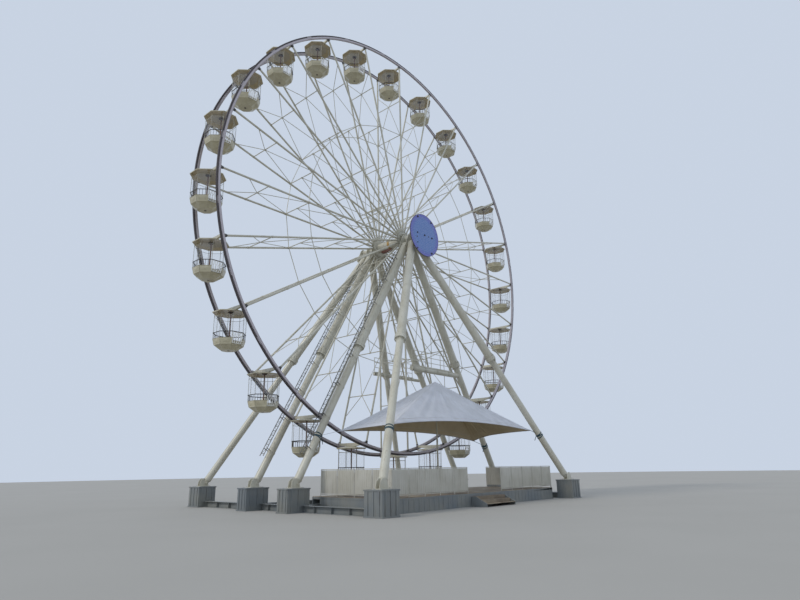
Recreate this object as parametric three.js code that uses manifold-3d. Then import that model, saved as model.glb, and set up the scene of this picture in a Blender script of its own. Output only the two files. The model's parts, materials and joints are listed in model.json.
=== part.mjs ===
// A transportable ferris wheel for fairgrounds: 24 level cabins between two rims, carried by eight legs.
// Millimetres, +Z up. The origin is on the ground under the hub. The axle runs along Y, and the
// boarding side faces -Y. Angles on the wheel run clockwise from the top, seen from the boarding side.
import * as THREE from 'three'
import { mergeVertices } from 'three/addons/utils/BufferGeometryUtils.js'
import Module from 'manifold-3d'

const wasm = await Module()
wasm.setup()

// Driving dimensions
const GAP = 0.3 // between pieces that rest on each other
const CABINS = 24
const SECTORS = 6
const HUB_HEIGHT = 18000
const RIM_RADIUS = 15000
const RIM_DEPTH = 240
const RIM_THICKNESS = 120
const RIM_PLANE = 1200 // each rim's distance from the middle of the wheel
const RIM_FACETS = 48
const WHEEL_PHASE = -0.4 // degrees, the first spoke from the top
const STEP = 360 / CABINS
const CABIN_CIRCLE = 14900 // the axles stand just inside the rims' middle
const CABIN_PHASE = WHEEL_PHASE + 0.35 // and beside the spokes' ends

// Spokes: two parallel chords each, tied by struts, with a ring round the wheel at one of them
const CHORD_RADIUS = 60
const STRUT_WIDTH = 50
const STRUT_RADII = [0.782, 0.582, 0.385].map((share) => share * RIM_RADIUS)
const RING_RADIUS = STRUT_RADII[1]
const RING_PLANE = RIM_PLANE - CHORD_RADIUS - 20 // the ring lies just inside the chords, on the struts

// Hub
const FLANGE_RADIUS = 620
const FLANGE_THICKNESS = 130
const DRUM_RADIUS = 340
const AXLE_RADIUS = 150
const AXLE_REACH = 2300 // each end's distance from the middle of the wheel
const AXLE_FACETS = 12
const BEARING_CLEARANCE = 0.5
const BORE_PAST = 50 // the bore's reach beyond the axle and the head

// Legs: an upright pair in the plane of each rim, and an outrigger beside each of them. Each axis runs
// from the hub's height to the ground.
const UPRIGHT = { headY: 1750, footX: 10320, footY: 1800 }
const OUTRIGGER = { headY: 2120, footX: 9950, footY: 8150 }
const LEG_UPPER_RADIUS = 270
const LEG_LOWER_RADIUS = 215
const LEG_FACETS = 10
const LEG_FLAT_SLOPE = 0.583 // a flat of each tube faces outwards and up, square to the leg
const LEG_TOP = 17150
const FOLD_JOINT_HEIGHT = 9400
const FOLD_JOINT_RADIUS = 345
const FOLD_JOINT_LENGTH = 260
const BALLAST_TOP = 1200
const LEG_CUT = 1300 // how much of a leg, each way, trims the end of a walkway

// Bearing heads, where four legs meet, and the round board in front of the wheel
const HEAD = { bottomHalf: 810, topHalf: 330, top: 18380, inner: 1470, outer: 2790 }
const BOARD = {
  radius: 1550, thickness: 90, back: 3140, facets: 24, drop: 180, // below the hub's middle
  armCircle: 270, armRadius: 60, armAngles: [90, 210, 330],
}

// Walkways and ladders
const WALKWAY = { height: 8600, frontHalf: 180, rearHalf: 110 }
const RAILING = { height: 1100, bar: 45, reach: 4200, posts: 4, levels: [0.55, 1] }
const LADDER = { from: 2200, to: 16400, stand: 480, width: 320, bar: 45, rung: 36, rungs: 8 }

// Ground frame, deck, fence and steps
const BEAM = 350
const BALLAST = { upright: [1500, 900], outrigger: [1200, 1200] }
const DECK = { halfX: 8000, front: 7200, back: 1350, top: 720, slab: 150, skirt: 50, overlap: 10 }
const SKIRT_END = UPRIGHT.footY + BEAM / 2 + GAP // the side skirts and fences end at the ground beam
const FENCE = { height: 1400, thickness: 40, inset: 20, gateHalf: 1700 }
const STEPS = { half: 1500, treads: 3, going: 340 }

// Canopy: a peaked sheet on a mast, over the deck. Its corners are tied at four heights. Each edge rises
// and draws in towards its middle.
const CANOPY = {
  frontY: 6450, frontX: 7050, backY: 2040, backLeftX: 6800, backRightX: 6460, peakY: 3750, peakZ: 7470,
  cornerZ: { frontLeft: 4310, frontRight: 4470, backLeft: 4170, backRight: 3930 },
  frontRise: 370, backRise: 240, sideRise: 70, frontSag: 180, backSag: 480, sideSag: 570,
  thickness: 16, curve: 1.05, columns: 10, rows: 6,
}
const MAST = { radius: 60, spike: 160 }

// Cabin, measured from its axle down. The body is an octagon with flats facing X and Y.
const CABIN = {
  drop: 2310, // from the axle to the bottom of the tub
  bottomApothem: 380, shoulderApothem: 720, shoulder: 250, bandApothem: 800, band: 580,
  wall: 40, floor: 60,
  ceilingApothem: 580, ceiling: 1900, roofApothem: 900, roofEdge: 2010, roofLip: 50,
  crownApothem: 260, roofCrown: 2145,
  postRadius: 9, posts: 8, embed: 20, poleRadius: 42,
  beamHalfWidth: 60, beamEnd: 60, beamMiddle: 170, beamHub: 320,
}

const degrees = THREE.MathUtils.degToRad

const cream = { color: 0xe6e2d3, roughness: 0.45, metalness: 0.1 }
const MATERIALS = {
  cabin: new THREE.MeshStandardMaterial({ ...cream, name: 'cabin_gloss' }),
  steel: new THREE.MeshStandardMaterial({ ...cream, name: 'cream_steel' }),
  rim: new THREE.MeshStandardMaterial({ color: 0xc9c3d6, roughness: 0.5, metalness: 0.2 }),
  board: new THREE.MeshStandardMaterial({ color: 0x7f86c8, roughness: 0.4, metalness: 0 }),
  dark: new THREE.MeshStandardMaterial({ color: 0x4a4c4e, roughness: 0.6, metalness: 0.4 }),
  base: new THREE.MeshStandardMaterial({ color: 0x7d8184, roughness: 0.7, metalness: 0.3 }),
  deck: new THREE.MeshStandardMaterial({ color: 0x9a8f80, roughness: 0.8, metalness: 0 }),
  fence: new THREE.MeshStandardMaterial({ color: 0xdfdccf, roughness: 0.6, metalness: 0 }),
  canvas: new THREE.MeshStandardMaterial({ color: 0xeef0f2, roughness: 0.7, metalness: 0 }),
}

// A closed three.js geometry as a solid
function solid(geometry) {
  const bare = geometry.clone()
  bare.deleteAttribute('normal')
  bare.deleteAttribute('uv')
  const merged = mergeVertices(bare, 1e-3)
  return new wasm.Manifold(new wasm.Mesh({
    numProp: 3,
    vertProperties: new Float32Array(merged.attributes.position.array),
    triVerts: new Uint32Array(merged.index.array),
  }))
}

function geometryOf(shape) {
  const mesh = shape.getMesh()
  const geometry = new THREE.BufferGeometry()
  geometry.setAttribute('position', new THREE.BufferAttribute(new Float32Array(mesh.vertProperties), 3))
  geometry.setIndex(new THREE.BufferAttribute(new Uint32Array(mesh.triVerts), 1))
  geometry.computeVertexNormals()
  return geometry
}

const union = (shapes) => shapes.reduce((whole, next) => whole.add(next))

function box(low, high) {
  const size = high.map((value, i) => value - low[i])
  const geometry = new THREE.BoxGeometry(...size)
  geometry.translate(...low.map((value, i) => value + size[i] / 2))
  return solid(geometry)
}

// A prism between two points. Its first flat faces the given direction, and its radius is to the flats.
function bar(from, to, radius, facets, facing) {
  const start = new THREE.Vector3(...from)
  const axis = new THREE.Vector3(...to).sub(start)
  const length = axis.length()
  axis.normalize()
  const across = new THREE.Vector3(...facing)
  across.addScaledVector(axis, -across.dot(axis)).normalize()
  const third = new THREE.Vector3().crossVectors(axis, across)
  const corner = radius / Math.cos(Math.PI / facets)
  const geometry = new THREE.CylinderGeometry(corner, corner, length, facets, 1, false, Math.PI / facets)
  geometry.translate(0, length / 2, 0)
  geometry.applyMatrix4(new THREE.Matrix4().makeBasis(third, axis, across).setPosition(start))
  return solid(geometry)
}

// A flat outline in XZ, carried along Y
function plate(points, nearY, farY) {
  const shape = new THREE.Shape(points.map(([x, z]) => new THREE.Vector2(x, z)))
  const geometry = new THREE.ExtrudeGeometry(shape, { depth: farY - nearY, bevelEnabled: false })
  geometry.rotateX(Math.PI / 2)
  geometry.translate(0, farY, 0)
  return solid(geometry)
}

// An octagonal body of revolution about Z, with flats facing X and Y. Points are [apothem, height].
function octagonal(points) {
  const corner = 1 / Math.cos(Math.PI / 8)
  const profile = points.map(([apothem, height]) => new THREE.Vector2(apothem * corner, height))
  const geometry = new THREE.LatheGeometry(profile, 8, Math.PI / 8)
  geometry.rotateX(Math.PI / 2)
  return solid(geometry)
}

function onWheel(radius, angle, y) {
  return [radius * Math.sin(degrees(angle)), y, radius * Math.cos(degrees(angle))]
}

function named(name, shape, material) {
  const mesh = new THREE.Mesh(geometryOf(shape), material)
  mesh.name = name
  return mesh
}

// Cabins

function cabinTub() {
  const c = CABIN
  return octagonal([
    [0, 0], [c.bottomApothem, 0], [c.shoulderApothem, c.shoulder], [c.bandApothem, c.band],
    [c.bandApothem - c.wall, c.band], [c.shoulderApothem - c.wall, c.shoulder],
    [c.bottomApothem, c.floor], [0, c.floor],
  ])
}

function cabinRoof() {
  const c = CABIN
  return octagonal([
    [0, c.ceiling], [c.ceilingApothem, c.ceiling],
    [c.roofApothem, c.roofEdge], [c.roofApothem, c.roofEdge + c.roofLip],
    [c.crownApothem, c.roofCrown], [0, c.roofCrown],
  ])
}

function cabinPosts() {
  const c = CABIN
  const corner = (c.bandApothem - c.wall / 2) / Math.cos(Math.PI / 8)
  return Array.from({ length: c.posts }, (_, i) => {
    const angle = degrees(360 * (i + 0.5) / c.posts)
    const [x, y] = [corner * Math.cos(angle), corner * Math.sin(angle)]
    return bar([x, y, c.band - c.embed], [x, y, c.roofEdge + c.embed], c.postRadius, 3, [x, y, 0])
  })
}

// The beam over the roof tapers from its middle to the pins at the two rims
function cabinBeam() {
  const c = CABIN
  const end = RIM_PLANE - RIM_THICKNESS / 2 - GAP
  const low = c.drop - c.beamMiddle
  const outline = [
    [-end, c.drop - c.beamEnd], [-c.beamHub, low], [c.beamHub, low], [end, c.drop - c.beamEnd],
    [end, c.drop + c.beamEnd], [-end, c.drop + c.beamEnd],
  ]
  return plate(outline, -c.beamHalfWidth, c.beamHalfWidth).rotate([0, 0, 90])
}

function cabinShape() {
  const c = CABIN
  const pole = bar([0, 0, c.floor / 2], [0, 0, c.ceiling + c.embed], c.poleRadius, 4, [1, 0, 0])
  return union([cabinTub(), cabinRoof(), ...cabinPosts(), pole, cabinBeam()]).translate([0, 0, -c.drop])
}

function cabins() {
  const group = new THREE.Group()
  const geometry = geometryOf(cabinShape())
  for (let i = 0; i < CABINS; i += 1) {
    const mesh = new THREE.Mesh(geometry, MATERIALS.cabin)
    mesh.name = `cabin_${String(i + 1).padStart(2, '0')}`
    mesh.position.set(...onWheel(CABIN_CIRCLE, CABIN_PHASE + STEP * i, 0))
    group.add(mesh)
  }
  return group
}

// Wheel

function rim() {
  const flat = Math.cos(Math.PI / RIM_FACETS)
  const [inner, outer] = [-1, 1].map((side) => (RIM_RADIUS + side * RIM_DEPTH / 2) / flat)
  const half = RIM_THICKNESS / 2
  const profile = [[inner, -half], [outer, -half], [outer, half], [inner, half], [inner, -half]]
  const points = profile.map(([radius, y]) => new THREE.Vector2(radius, y))
  return solid(new THREE.LatheGeometry(points, RIM_FACETS, Math.PI / RIM_FACETS))
}

// Both chords of the spoke at an angle, and the struts between them
function spoke(angle) {
  const rimEnd = RIM_RADIUS - RIM_DEPTH / 2 - GAP
  const chords = [-RIM_PLANE, RIM_PLANE].map((y) => bar(
    onWheel(FLANGE_RADIUS + GAP, angle, y), onWheel(rimEnd, angle, y), CHORD_RADIUS * Math.cos(Math.PI / 6), 6,
    [0, 1, 0],
  ))
  const struts = STRUT_RADII.map((radius) => bar(
    onWheel(radius, angle, -RIM_PLANE), onWheel(radius, angle, RIM_PLANE), STRUT_WIDTH / 2, 4,
    onWheel(1, angle, 0),
  ))
  return [...chords, ...struts]
}

// The ring's bar from one spoke to the next, stopped short of the next where a new sector starts
function ringBar(angle, y, stop) {
  const start = new THREE.Vector3(...onWheel(RING_RADIUS, angle, y))
  const end = new THREE.Vector3(...onWheel(RING_RADIUS, angle + STEP, y))
  const short = start.clone().sub(end).setLength(stop)
  return bar(start.toArray(), end.add(short).toArray(), STRUT_WIDTH / 2, 4, [0, 1, 0])
}

function sector() {
  const spokes = CABINS / SECTORS
  const shapes = []
  for (let i = 0; i < spokes; i += 1) {
    shapes.push(...spoke(STEP * i))
    const slant = 1 / Math.cos(degrees(STEP / 2)) + Math.tan(degrees(STEP / 2))
    const stop = i === spokes - 1 ? STRUT_WIDTH / 2 * slant + GAP : 0
    for (const y of [-RING_PLANE, RING_PLANE]) shapes.push(ringBar(STEP * i, y, stop))
  }
  return union(shapes)
}

// The drum between two spoke flanges, on an axle that runs into both bearing heads
function hub() {
  const round = (radius, reach) => bar([0, -reach, 0], [0, reach, 0], radius, AXLE_FACETS, [0, 0, 1])
  const flange = (y) => bar(
    [0, y - FLANGE_THICKNESS / 2, 0], [0, y + FLANGE_THICKNESS / 2, 0], FLANGE_RADIUS, CABINS, [0, 0, 1],
  )
  const axle = round(AXLE_RADIUS * Math.cos(Math.PI / AXLE_FACETS), AXLE_REACH)
  return union([round(DRUM_RADIUS, RIM_PLANE), flange(-RIM_PLANE), flange(RIM_PLANE), axle])
}

function wheel() {
  const group = new THREE.Group()
  const front = named('front_rim', rim(), MATERIALS.rim)
  front.position.y = -RIM_PLANE
  const rear = named('rear_rim', rim(), MATERIALS.rim)
  rear.position.y = RIM_PLANE
  group.add(front, rear, named('hub_drum', hub(), MATERIALS.steel))
  const shape = sector()
  for (let i = 0; i < SECTORS; i += 1) {
    const mesh = named(`spoke_sector_${i + 1}`, shape, MATERIALS.steel)
    mesh.rotation.y = degrees(360 / SECTORS * i)
    group.add(mesh)
  }
  group.rotation.y = degrees(WHEEL_PHASE)
  return group
}

// Support

// A point on a leg's axis. Side is -1 for left or 1 for right, end is -1 for front or 1 for rear.
function onLeg(kind, side, end, z) {
  const share = (HUB_HEIGHT - z) / HUB_HEIGHT
  return [side * kind.footX * share, end * (kind.headY + (kind.footY - kind.headY) * share), z]
}

// A stretch of a leg, with a flat of its tube on the outer side
function legTube(kind, side, end, radius, from, to) {
  const outward = [side, 0, LEG_FLAT_SLOPE]
  return bar(onLeg(kind, side, end, from), onLeg(kind, side, end, to), radius, LEG_FACETS, outward)
}

function leg(kind, side, end) {
  const upper = legTube(kind, side, end, LEG_UPPER_RADIUS, FOLD_JOINT_HEIGHT, HUB_HEIGHT)
  const lower = legTube(kind, side, end, LEG_LOWER_RADIUS, 0, FOLD_JOINT_HEIGHT)
  const half = FOLD_JOINT_LENGTH / 2
  const joint = legTube(
    kind, side, end, FOLD_JOINT_RADIUS, FOLD_JOINT_HEIGHT - half, FOLD_JOINT_HEIGHT + half,
  )
  const reach = 2 * kind.footX
  const between = box([-reach, -reach, BALLAST_TOP + GAP], [reach, reach, LEG_TOP - GAP])
  return union([upper, lower, joint]).intersect(between)
}

// The room that an upright leg takes below its joint, with the gap round it
const legRoom = (side, end, z) => legTube(
  UPRIGHT, side, end, LEG_LOWER_RADIUS + GAP, z - LEG_CUT, z + LEG_CUT,
)

function legs() {
  const group = new THREE.Group()
  const kinds = { leg: UPRIGHT, outrigger: OUTRIGGER }
  for (const [word, kind] of Object.entries(kinds)) {
    for (const [endWord, end] of [['front', -1], ['rear', 1]]) {
      for (const [sideWord, side] of [['left', -1], ['right', 1]]) {
        group.add(named(`${word}_${endWord}_${sideWord}`, leg(kind, side, end), MATERIALS.steel))
      }
    }
  }
  return group
}

function bearingHead() {
  const h = HEAD
  const outline = [
    [-h.bottomHalf, LEG_TOP], [h.bottomHalf, LEG_TOP], [h.topHalf, h.top], [-h.topHalf, h.top],
  ]
  const corner = Math.PI / AXLE_FACETS // a corner of the bore is at the top
  const bore = bar(
    [0, h.inner - BORE_PAST, HUB_HEIGHT], [0, AXLE_REACH + BORE_PAST, HUB_HEIGHT],
    AXLE_RADIUS + BEARING_CLEARANCE, AXLE_FACETS, [Math.sin(corner), 0, Math.cos(corner)],
  )
  return plate(outline, h.inner, h.outer).subtract(bore)
}

function frontBoard() {
  const b = BOARD
  const [middle, face] = [HUB_HEIGHT - b.drop, -b.back - b.thickness]
  const disc = bar([0, -b.back, middle], [0, face, middle], b.radius, b.facets, [0, 0, 1])
  const arms = b.armAngles.map((angle) => {
    const x = b.armCircle * Math.cos(degrees(angle))
    const z = middle + b.armCircle * Math.sin(degrees(angle))
    return bar([x, -HEAD.outer - GAP, z], [x, -b.back - b.thickness / 2, z], b.armRadius, 4, [0, 0, 1])
  })
  return union([disc, ...arms])
}

// A service walkway from the right leg to the middle, with a railing on its beam
function walkway(end, half) {
  const z = WALKWAY.height
  const [legX, y] = onLeg(UPRIGHT, 1, end, z)
  const beam = bar([0, y, z], [legX, y, z], half, 8, [0, 0, 1]).subtract(legRoom(1, end, z))
  const r = RAILING
  const top = z + half + r.height
  const posts = Array.from({ length: r.posts }, (_, i) => {
    const x = r.bar + (r.reach - r.bar) * i / (r.posts - 1)
    return bar([x, y, z], [x, y, top], r.bar / 2, 4, [1, 0, 0])
  })
  const rails = r.levels.map((share) => {
    const level = z + half + r.height * share - r.bar / 2
    return bar([r.bar, y, level], [r.reach, y, level], r.bar / 2, 4, [0, 0, 1])
  })
  return union([beam, ...posts, ...rails])
}

// A ladder stands off the outer side of a left leg on brackets
function ladder(end) {
  const l = LADDER
  const out = new THREE.Vector3(-HUB_HEIGHT, 0, UPRIGHT.footX).normalize()
  const place = (z, stand, y) => {
    const point = new THREE.Vector3(...onLeg(UPRIGHT, -1, end, z)).addScaledVector(out, stand)
    point.y += y
    return point.toArray()
  }
  const rail = (side) => bar(
    place(l.from, l.stand, side * l.width / 2), place(l.to, l.stand, side * l.width / 2),
    l.bar / 2, 4, [0, 1, 0],
  )
  const shapes = [rail(-1), rail(1)]
  for (let i = 0; i < l.rungs; i += 1) {
    const z = l.from + (l.to - l.from) * (i + 0.5) / l.rungs
    const ends = [-1, 1].map((side) => place(z, l.stand, side * l.width / 2))
    shapes.push(bar(...ends, l.rung / 2, 4, out.toArray()))
    if (i % 2 === 1) {
      const surface = z < FOLD_JOINT_HEIGHT ? LEG_LOWER_RADIUS : LEG_UPPER_RADIUS
      shapes.push(bar(place(z, surface + GAP, 0), place(z, l.stand, 0), l.rung / 2, 4, [0, 1, 0]))
    }
  }
  return union(shapes)
}

// Ground works

function groundFrame() {
  const shapes = []
  const footX = (kind) => onLeg(kind, 1, 1, BALLAST_TOP)[0]
  const footY = (kind) => onLeg(kind, 1, 1, BALLAST_TOP)[1]
  const endX = footX(UPRIGHT) + BALLAST.upright[0] / 2
  const endY = footY(OUTRIGGER) + BALLAST.outrigger[1] / 2
  for (const side of [-1, 1]) {
    const y = side * UPRIGHT.footY
    shapes.push(box([-endX, y - BEAM / 2, 0], [endX, y + BEAM / 2, BEAM]))
    const x = side * footX(OUTRIGGER)
    shapes.push(box([x - BEAM / 2, -endY, 0], [x + BEAM / 2, endY, BEAM]))
    for (const end of [-1, 1]) {
      for (const [kind, [sizeX, sizeY]] of [[UPRIGHT, BALLAST.upright], [OUTRIGGER, BALLAST.outrigger]]) {
        const [bx, by] = [side * footX(kind), end * footY(kind)]
        shapes.push(box([bx - sizeX / 2, by - sizeY / 2, 0], [bx + sizeX / 2, by + sizeY / 2, BALLAST_TOP]))
      }
    }
  }
  return union(shapes)
}

function boardingDeck() {
  const d = DECK
  const under = d.top - d.slab
  return union([
    box([-d.halfX, -d.front, under], [d.halfX, -d.back, d.top]),
    box([-d.halfX, -d.front, 0], [d.halfX, -d.front + d.skirt, under + d.overlap]),
    box([-d.halfX, -d.back - d.skirt, 0], [d.halfX, -d.back, under + d.overlap]),
    box([-d.halfX, -d.front, 0], [-d.halfX + d.skirt, -SKIRT_END, under + d.overlap]),
    box([d.halfX - d.skirt, -d.front, 0], [d.halfX, -SKIRT_END, under + d.overlap]),
  ])
}

function deckSteps() {
  const s = STEPS
  const rise = DECK.top / (s.treads + 1)
  const far = s.treads * s.going
  const outline = [[0, 0], [far, 0]]
  for (let i = 0; i < s.treads; i += 1) {
    outline.push([far - i * s.going, (i + 1) * rise], [far - (i + 1) * s.going, (i + 1) * rise])
  }
  return plate(outline, -s.half, s.half).rotate([0, 0, -90]).translate([0, -DECK.front - GAP, 0])
}

function fences() {
  const f = FENCE
  const [low, high] = [DECK.top + GAP, DECK.top + f.height]
  const group = new THREE.Group()
  const frontY = -DECK.front + f.inset
  const sideX = DECK.halfX - f.inset
  const add = (name, from, to) => group.add(named(name, box([...from, low], [...to, high]), MATERIALS.fence))
  add('fence_front_left', [-sideX, frontY], [-f.gateHalf, frontY + f.thickness])
  add('fence_front_right', [f.gateHalf, frontY], [sideX, frontY + f.thickness])
  add('fence_left', [-sideX, frontY + f.thickness + GAP], [-sideX + f.thickness, -SKIRT_END])
  add('fence_right', [sideX - f.thickness, frontY + f.thickness + GAP], [sideX, -SKIRT_END])
  return group
}

// The sheet's upper surface. u and v run from -1 to 1, left to right and front to back.
function canopyPoint(u, v) {
  const c = CANOPY
  const [front, back, left, right] = [(1 - v) / 2, (1 + v) / 2, (1 - u) / 2, (1 + u) / 2]
  const [bowU, bowV] = [1 - u * u, 1 - v * v]
  const backX = u < 0 ? c.backLeftX : c.backRightX
  const x = u * (c.frontX * front + backX * back - c.sideSag * bowV)
  const edgeY = v < 0 ? c.frontY - c.frontSag * bowU : c.backY + c.backSag * bowU
  const y = -c.peakY + (c.peakY - edgeY) * Math.abs(v)
  const corners = front * (left * c.cornerZ.frontLeft + right * c.cornerZ.frontRight)
    + back * (left * c.cornerZ.backLeft + right * c.cornerZ.backRight)
  const edge = corners + bowU * (front * c.frontRise + back * c.backRise) + bowV * c.sideRise
  const rise = (1 - Math.max(Math.abs(u), Math.abs(v))) ** c.curve
  return [x, y, edge + (c.peakZ - edge) * rise]
}

function canopy() {
  const { columns, rows } = CANOPY
  const positions = []
  const index = []
  const at = (layer, i, j) => layer * (columns + 1) * (rows + 1) + j * (columns + 1) + i
  for (const layer of [0, 1]) {
    for (let j = 0; j <= rows; j += 1) {
      for (let i = 0; i <= columns; i += 1) {
        const [x, y, z] = canopyPoint(2 * i / columns - 1, 2 * j / rows - 1)
        positions.push(x, y, z - layer * CANOPY.thickness)
      }
    }
  }
  const quad = (a, b, c, d) => index.push(a, b, c, a, c, d)
  for (let j = 0; j < rows; j += 1) {
    for (let i = 0; i < columns; i += 1) {
      quad(at(0, i, j), at(0, i + 1, j), at(0, i + 1, j + 1), at(0, i, j + 1))
      quad(at(1, i, j + 1), at(1, i + 1, j + 1), at(1, i + 1, j), at(1, i, j))
    }
  }
  for (let i = 0; i < columns; i += 1) {
    quad(at(1, i, 0), at(1, i + 1, 0), at(0, i + 1, 0), at(0, i, 0))
    quad(at(0, i, rows), at(0, i + 1, rows), at(1, i + 1, rows), at(1, i, rows))
  }
  for (let j = 0; j < rows; j += 1) {
    quad(at(0, 0, j), at(0, 0, j + 1), at(1, 0, j + 1), at(1, 0, j))
    quad(at(1, columns, j), at(1, columns, j + 1), at(0, columns, j + 1), at(0, columns, j))
  }
  const geometry = new THREE.BufferGeometry()
  geometry.setAttribute('position', new THREE.Float32BufferAttribute(positions, 3))
  geometry.setIndex(index)
  return solid(geometry)
}

// The mast ends in a spike, steeper than the sheet, right under the sheet's peak
function canopyMast() {
  const foot = DECK.top + GAP
  const tip = CANOPY.peakZ - CANOPY.thickness - GAP
  const profile = [[0, foot], [MAST.radius, foot], [MAST.radius, tip - MAST.spike], [0, tip]]
  const geometry = new THREE.LatheGeometry(profile.map(([radius, z]) => new THREE.Vector2(radius, z)), 8)
  geometry.rotateX(Math.PI / 2)
  geometry.translate(0, -CANOPY.peakY, 0)
  return solid(geometry)
}

const turning = new THREE.Group()
turning.add(wheel(), cabins())
turning.position.z = HUB_HEIGHT

const rearHead = named('rear_bearing_head', bearingHead(), MATERIALS.steel)
const frontHead = named('front_bearing_head', bearingHead(), MATERIALS.steel)
frontHead.rotation.z = Math.PI

const ferrisWheel = new THREE.Group()
ferrisWheel.add(
  turning,
  legs(),
  frontHead,
  rearHead,
  named('front_board', frontBoard(), MATERIALS.board),
  named('front_walkway', walkway(-1, WALKWAY.frontHalf), MATERIALS.steel),
  named('rear_walkway', walkway(1, WALKWAY.rearHalf), MATERIALS.steel),
  named('front_ladder', ladder(-1), MATERIALS.dark),
  named('rear_ladder', ladder(1), MATERIALS.dark),
  named('ground_frame', groundFrame(), MATERIALS.base),
  named('boarding_deck', boardingDeck(), MATERIALS.deck),
  named('deck_steps', deckSteps(), MATERIALS.deck),
  fences(),
  named('boarding_canopy', canopy(), MATERIALS.canvas),
  named('canopy_mast', canopyMast(), MATERIALS.steel),
)

export default ferrisWheel
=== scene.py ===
# %% [markdown]
# # A transportable ferris wheel
# A fairground wheel that travels on trailers: 24 level cabins hang between two rims, thin trussed
# spokes carry the rims, and eight legs carry the axle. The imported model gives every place, so each
# piece below is built round the node that it dresses, in metres, with +Z up.

# %% Load the frame
import json
import math
import bmesh
import bpy
from mathutils import Matrix, Vector


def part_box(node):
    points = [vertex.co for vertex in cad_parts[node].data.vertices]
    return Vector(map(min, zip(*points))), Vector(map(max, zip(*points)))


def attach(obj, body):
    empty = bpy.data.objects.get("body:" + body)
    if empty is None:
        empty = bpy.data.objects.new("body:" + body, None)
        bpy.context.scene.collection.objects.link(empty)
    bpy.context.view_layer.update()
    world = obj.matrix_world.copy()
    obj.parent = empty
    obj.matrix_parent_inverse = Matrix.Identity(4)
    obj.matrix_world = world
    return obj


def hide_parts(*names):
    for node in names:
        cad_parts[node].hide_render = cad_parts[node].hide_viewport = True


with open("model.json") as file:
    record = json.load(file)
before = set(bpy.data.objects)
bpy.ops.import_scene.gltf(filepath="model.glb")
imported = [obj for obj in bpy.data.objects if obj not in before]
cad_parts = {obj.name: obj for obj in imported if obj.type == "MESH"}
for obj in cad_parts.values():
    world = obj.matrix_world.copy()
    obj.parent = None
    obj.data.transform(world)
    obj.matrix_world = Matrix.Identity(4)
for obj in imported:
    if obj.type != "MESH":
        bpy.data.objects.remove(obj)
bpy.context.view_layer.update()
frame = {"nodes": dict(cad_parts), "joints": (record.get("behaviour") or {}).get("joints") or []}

# %% [markdown]
# ## The measures of the wheel
# Joints say where the hub and the cabin axles are, and a rim's box says how far apart the rims stand.
# Everything on the wheel is then placed by a radius, an angle clockwise from the top as seen from the
# boarding side, and a distance along the axle. The cabins' pins stand just beside the spokes' ends.

# %% Measures taken from the frame
joint_at = {joint["name"]: Vector(joint["pos_m"]) for joint in frame["joints"]}
HUB = joint_at["wheel_spin"]
AXLES = [joint_at[f"cabin_level_{i:02d}"] for i in range(1, 25)]
SPOKES = len(AXLES)
STEP = 360 / SPOKES
AXLE_CIRCLE = (AXLES[0] - HUB).length
AXLE_PHASE = math.degrees(math.atan2(AXLES[0].x, AXLES[0].z - HUB.z))
PIN_LEAD = 0.35  # degrees that a cabin's pin stands beside its spoke
PHASE = AXLE_PHASE - PIN_LEAD
SPOKE_ANGLES = [PHASE + STEP * i for i in range(SPOKES)]
rim_low, rim_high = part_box("front_rim")
RIM_PLANE = -(rim_low.y + rim_high.y) / 2
RIM_THICK = rim_high.y - rim_low.y
RIM_RADIUS, RIM_DEPTH = 15.0, 0.24
HAIRLINE = 0.0003  # left between two parts that meet, so that no two faces share a plane
print(f"hub {HUB.z:.2f} m up, rims {2 * RIM_PLANE:.2f} m apart, first spoke at {PHASE:.2f} degrees")


def on_wheel(radius, angle, y=0.0):
    """A point on the wheel, y being its place along the axle."""
    turn = math.radians(angle)
    return HUB + Vector((radius * math.sin(turn), y, radius * math.cos(turn)))


def outward(angle):
    """The direction from the hub to the rim."""
    return (on_wheel(1, angle) - HUB).normalized()


# %% [markdown]
# ## Colours and the node helper
# A paint chip is read from a screen as an sRGB hex code, but a shader mixes light, which is linear.
# One function turns one into the other. Another adds any node with its settings and its links, so
# that a material reads from top to bottom like a recipe.

# %% Colour and node helpers
def srgb(code):
    """A hex colour as linear red, green, blue and alpha."""
    channels = [int(code[i:i + 2], 16) / 255 for i in (0, 2, 4)]
    return (*(c / 12.92 if c <= 0.04045 else ((c + 0.055) / 1.055) ** 2.4 for c in channels), 1.0)


def feed(tree, node, inputs):
    """Sets a node's inputs. Another node is linked from the first of its outputs in use, and a list
    of nodes one after the other."""
    for name, value in inputs.items():
        if isinstance(value, (bpy.types.Node, bpy.types.NodeSocket, list)):
            for source in value if isinstance(value, list) else [value]:
                if isinstance(source, bpy.types.Node):
                    source = next(socket for socket in source.outputs if socket.enabled)
                tree.links.new(source, node.inputs[name])
        else:
            node.inputs[name].default_value = value


def add(tree, kind, inputs=None, **settings):
    """Adds a node with its settings and its links."""
    node = tree.nodes.new(kind)
    for name, value in settings.items():
        setattr(node, name, value)
    feed(tree, node, inputs or {})
    return node


def blank_finish(name, roughness, metallic=0.0, **sockets):
    """A material with its shader, and Object coordinates to build patterns on."""
    material = bpy.data.materials.new(name)
    material.use_nodes = True
    tree = material.node_tree
    shader = tree.nodes["Principled BSDF"]
    plain = {socket.replace("_", " "): value for socket, value in sockets.items()}
    feed(tree, shader, {"Roughness": roughness, "Metallic": metallic, **plain})
    return material, tree, shader, add(tree, "ShaderNodeTexCoord").outputs["Object"]


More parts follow.
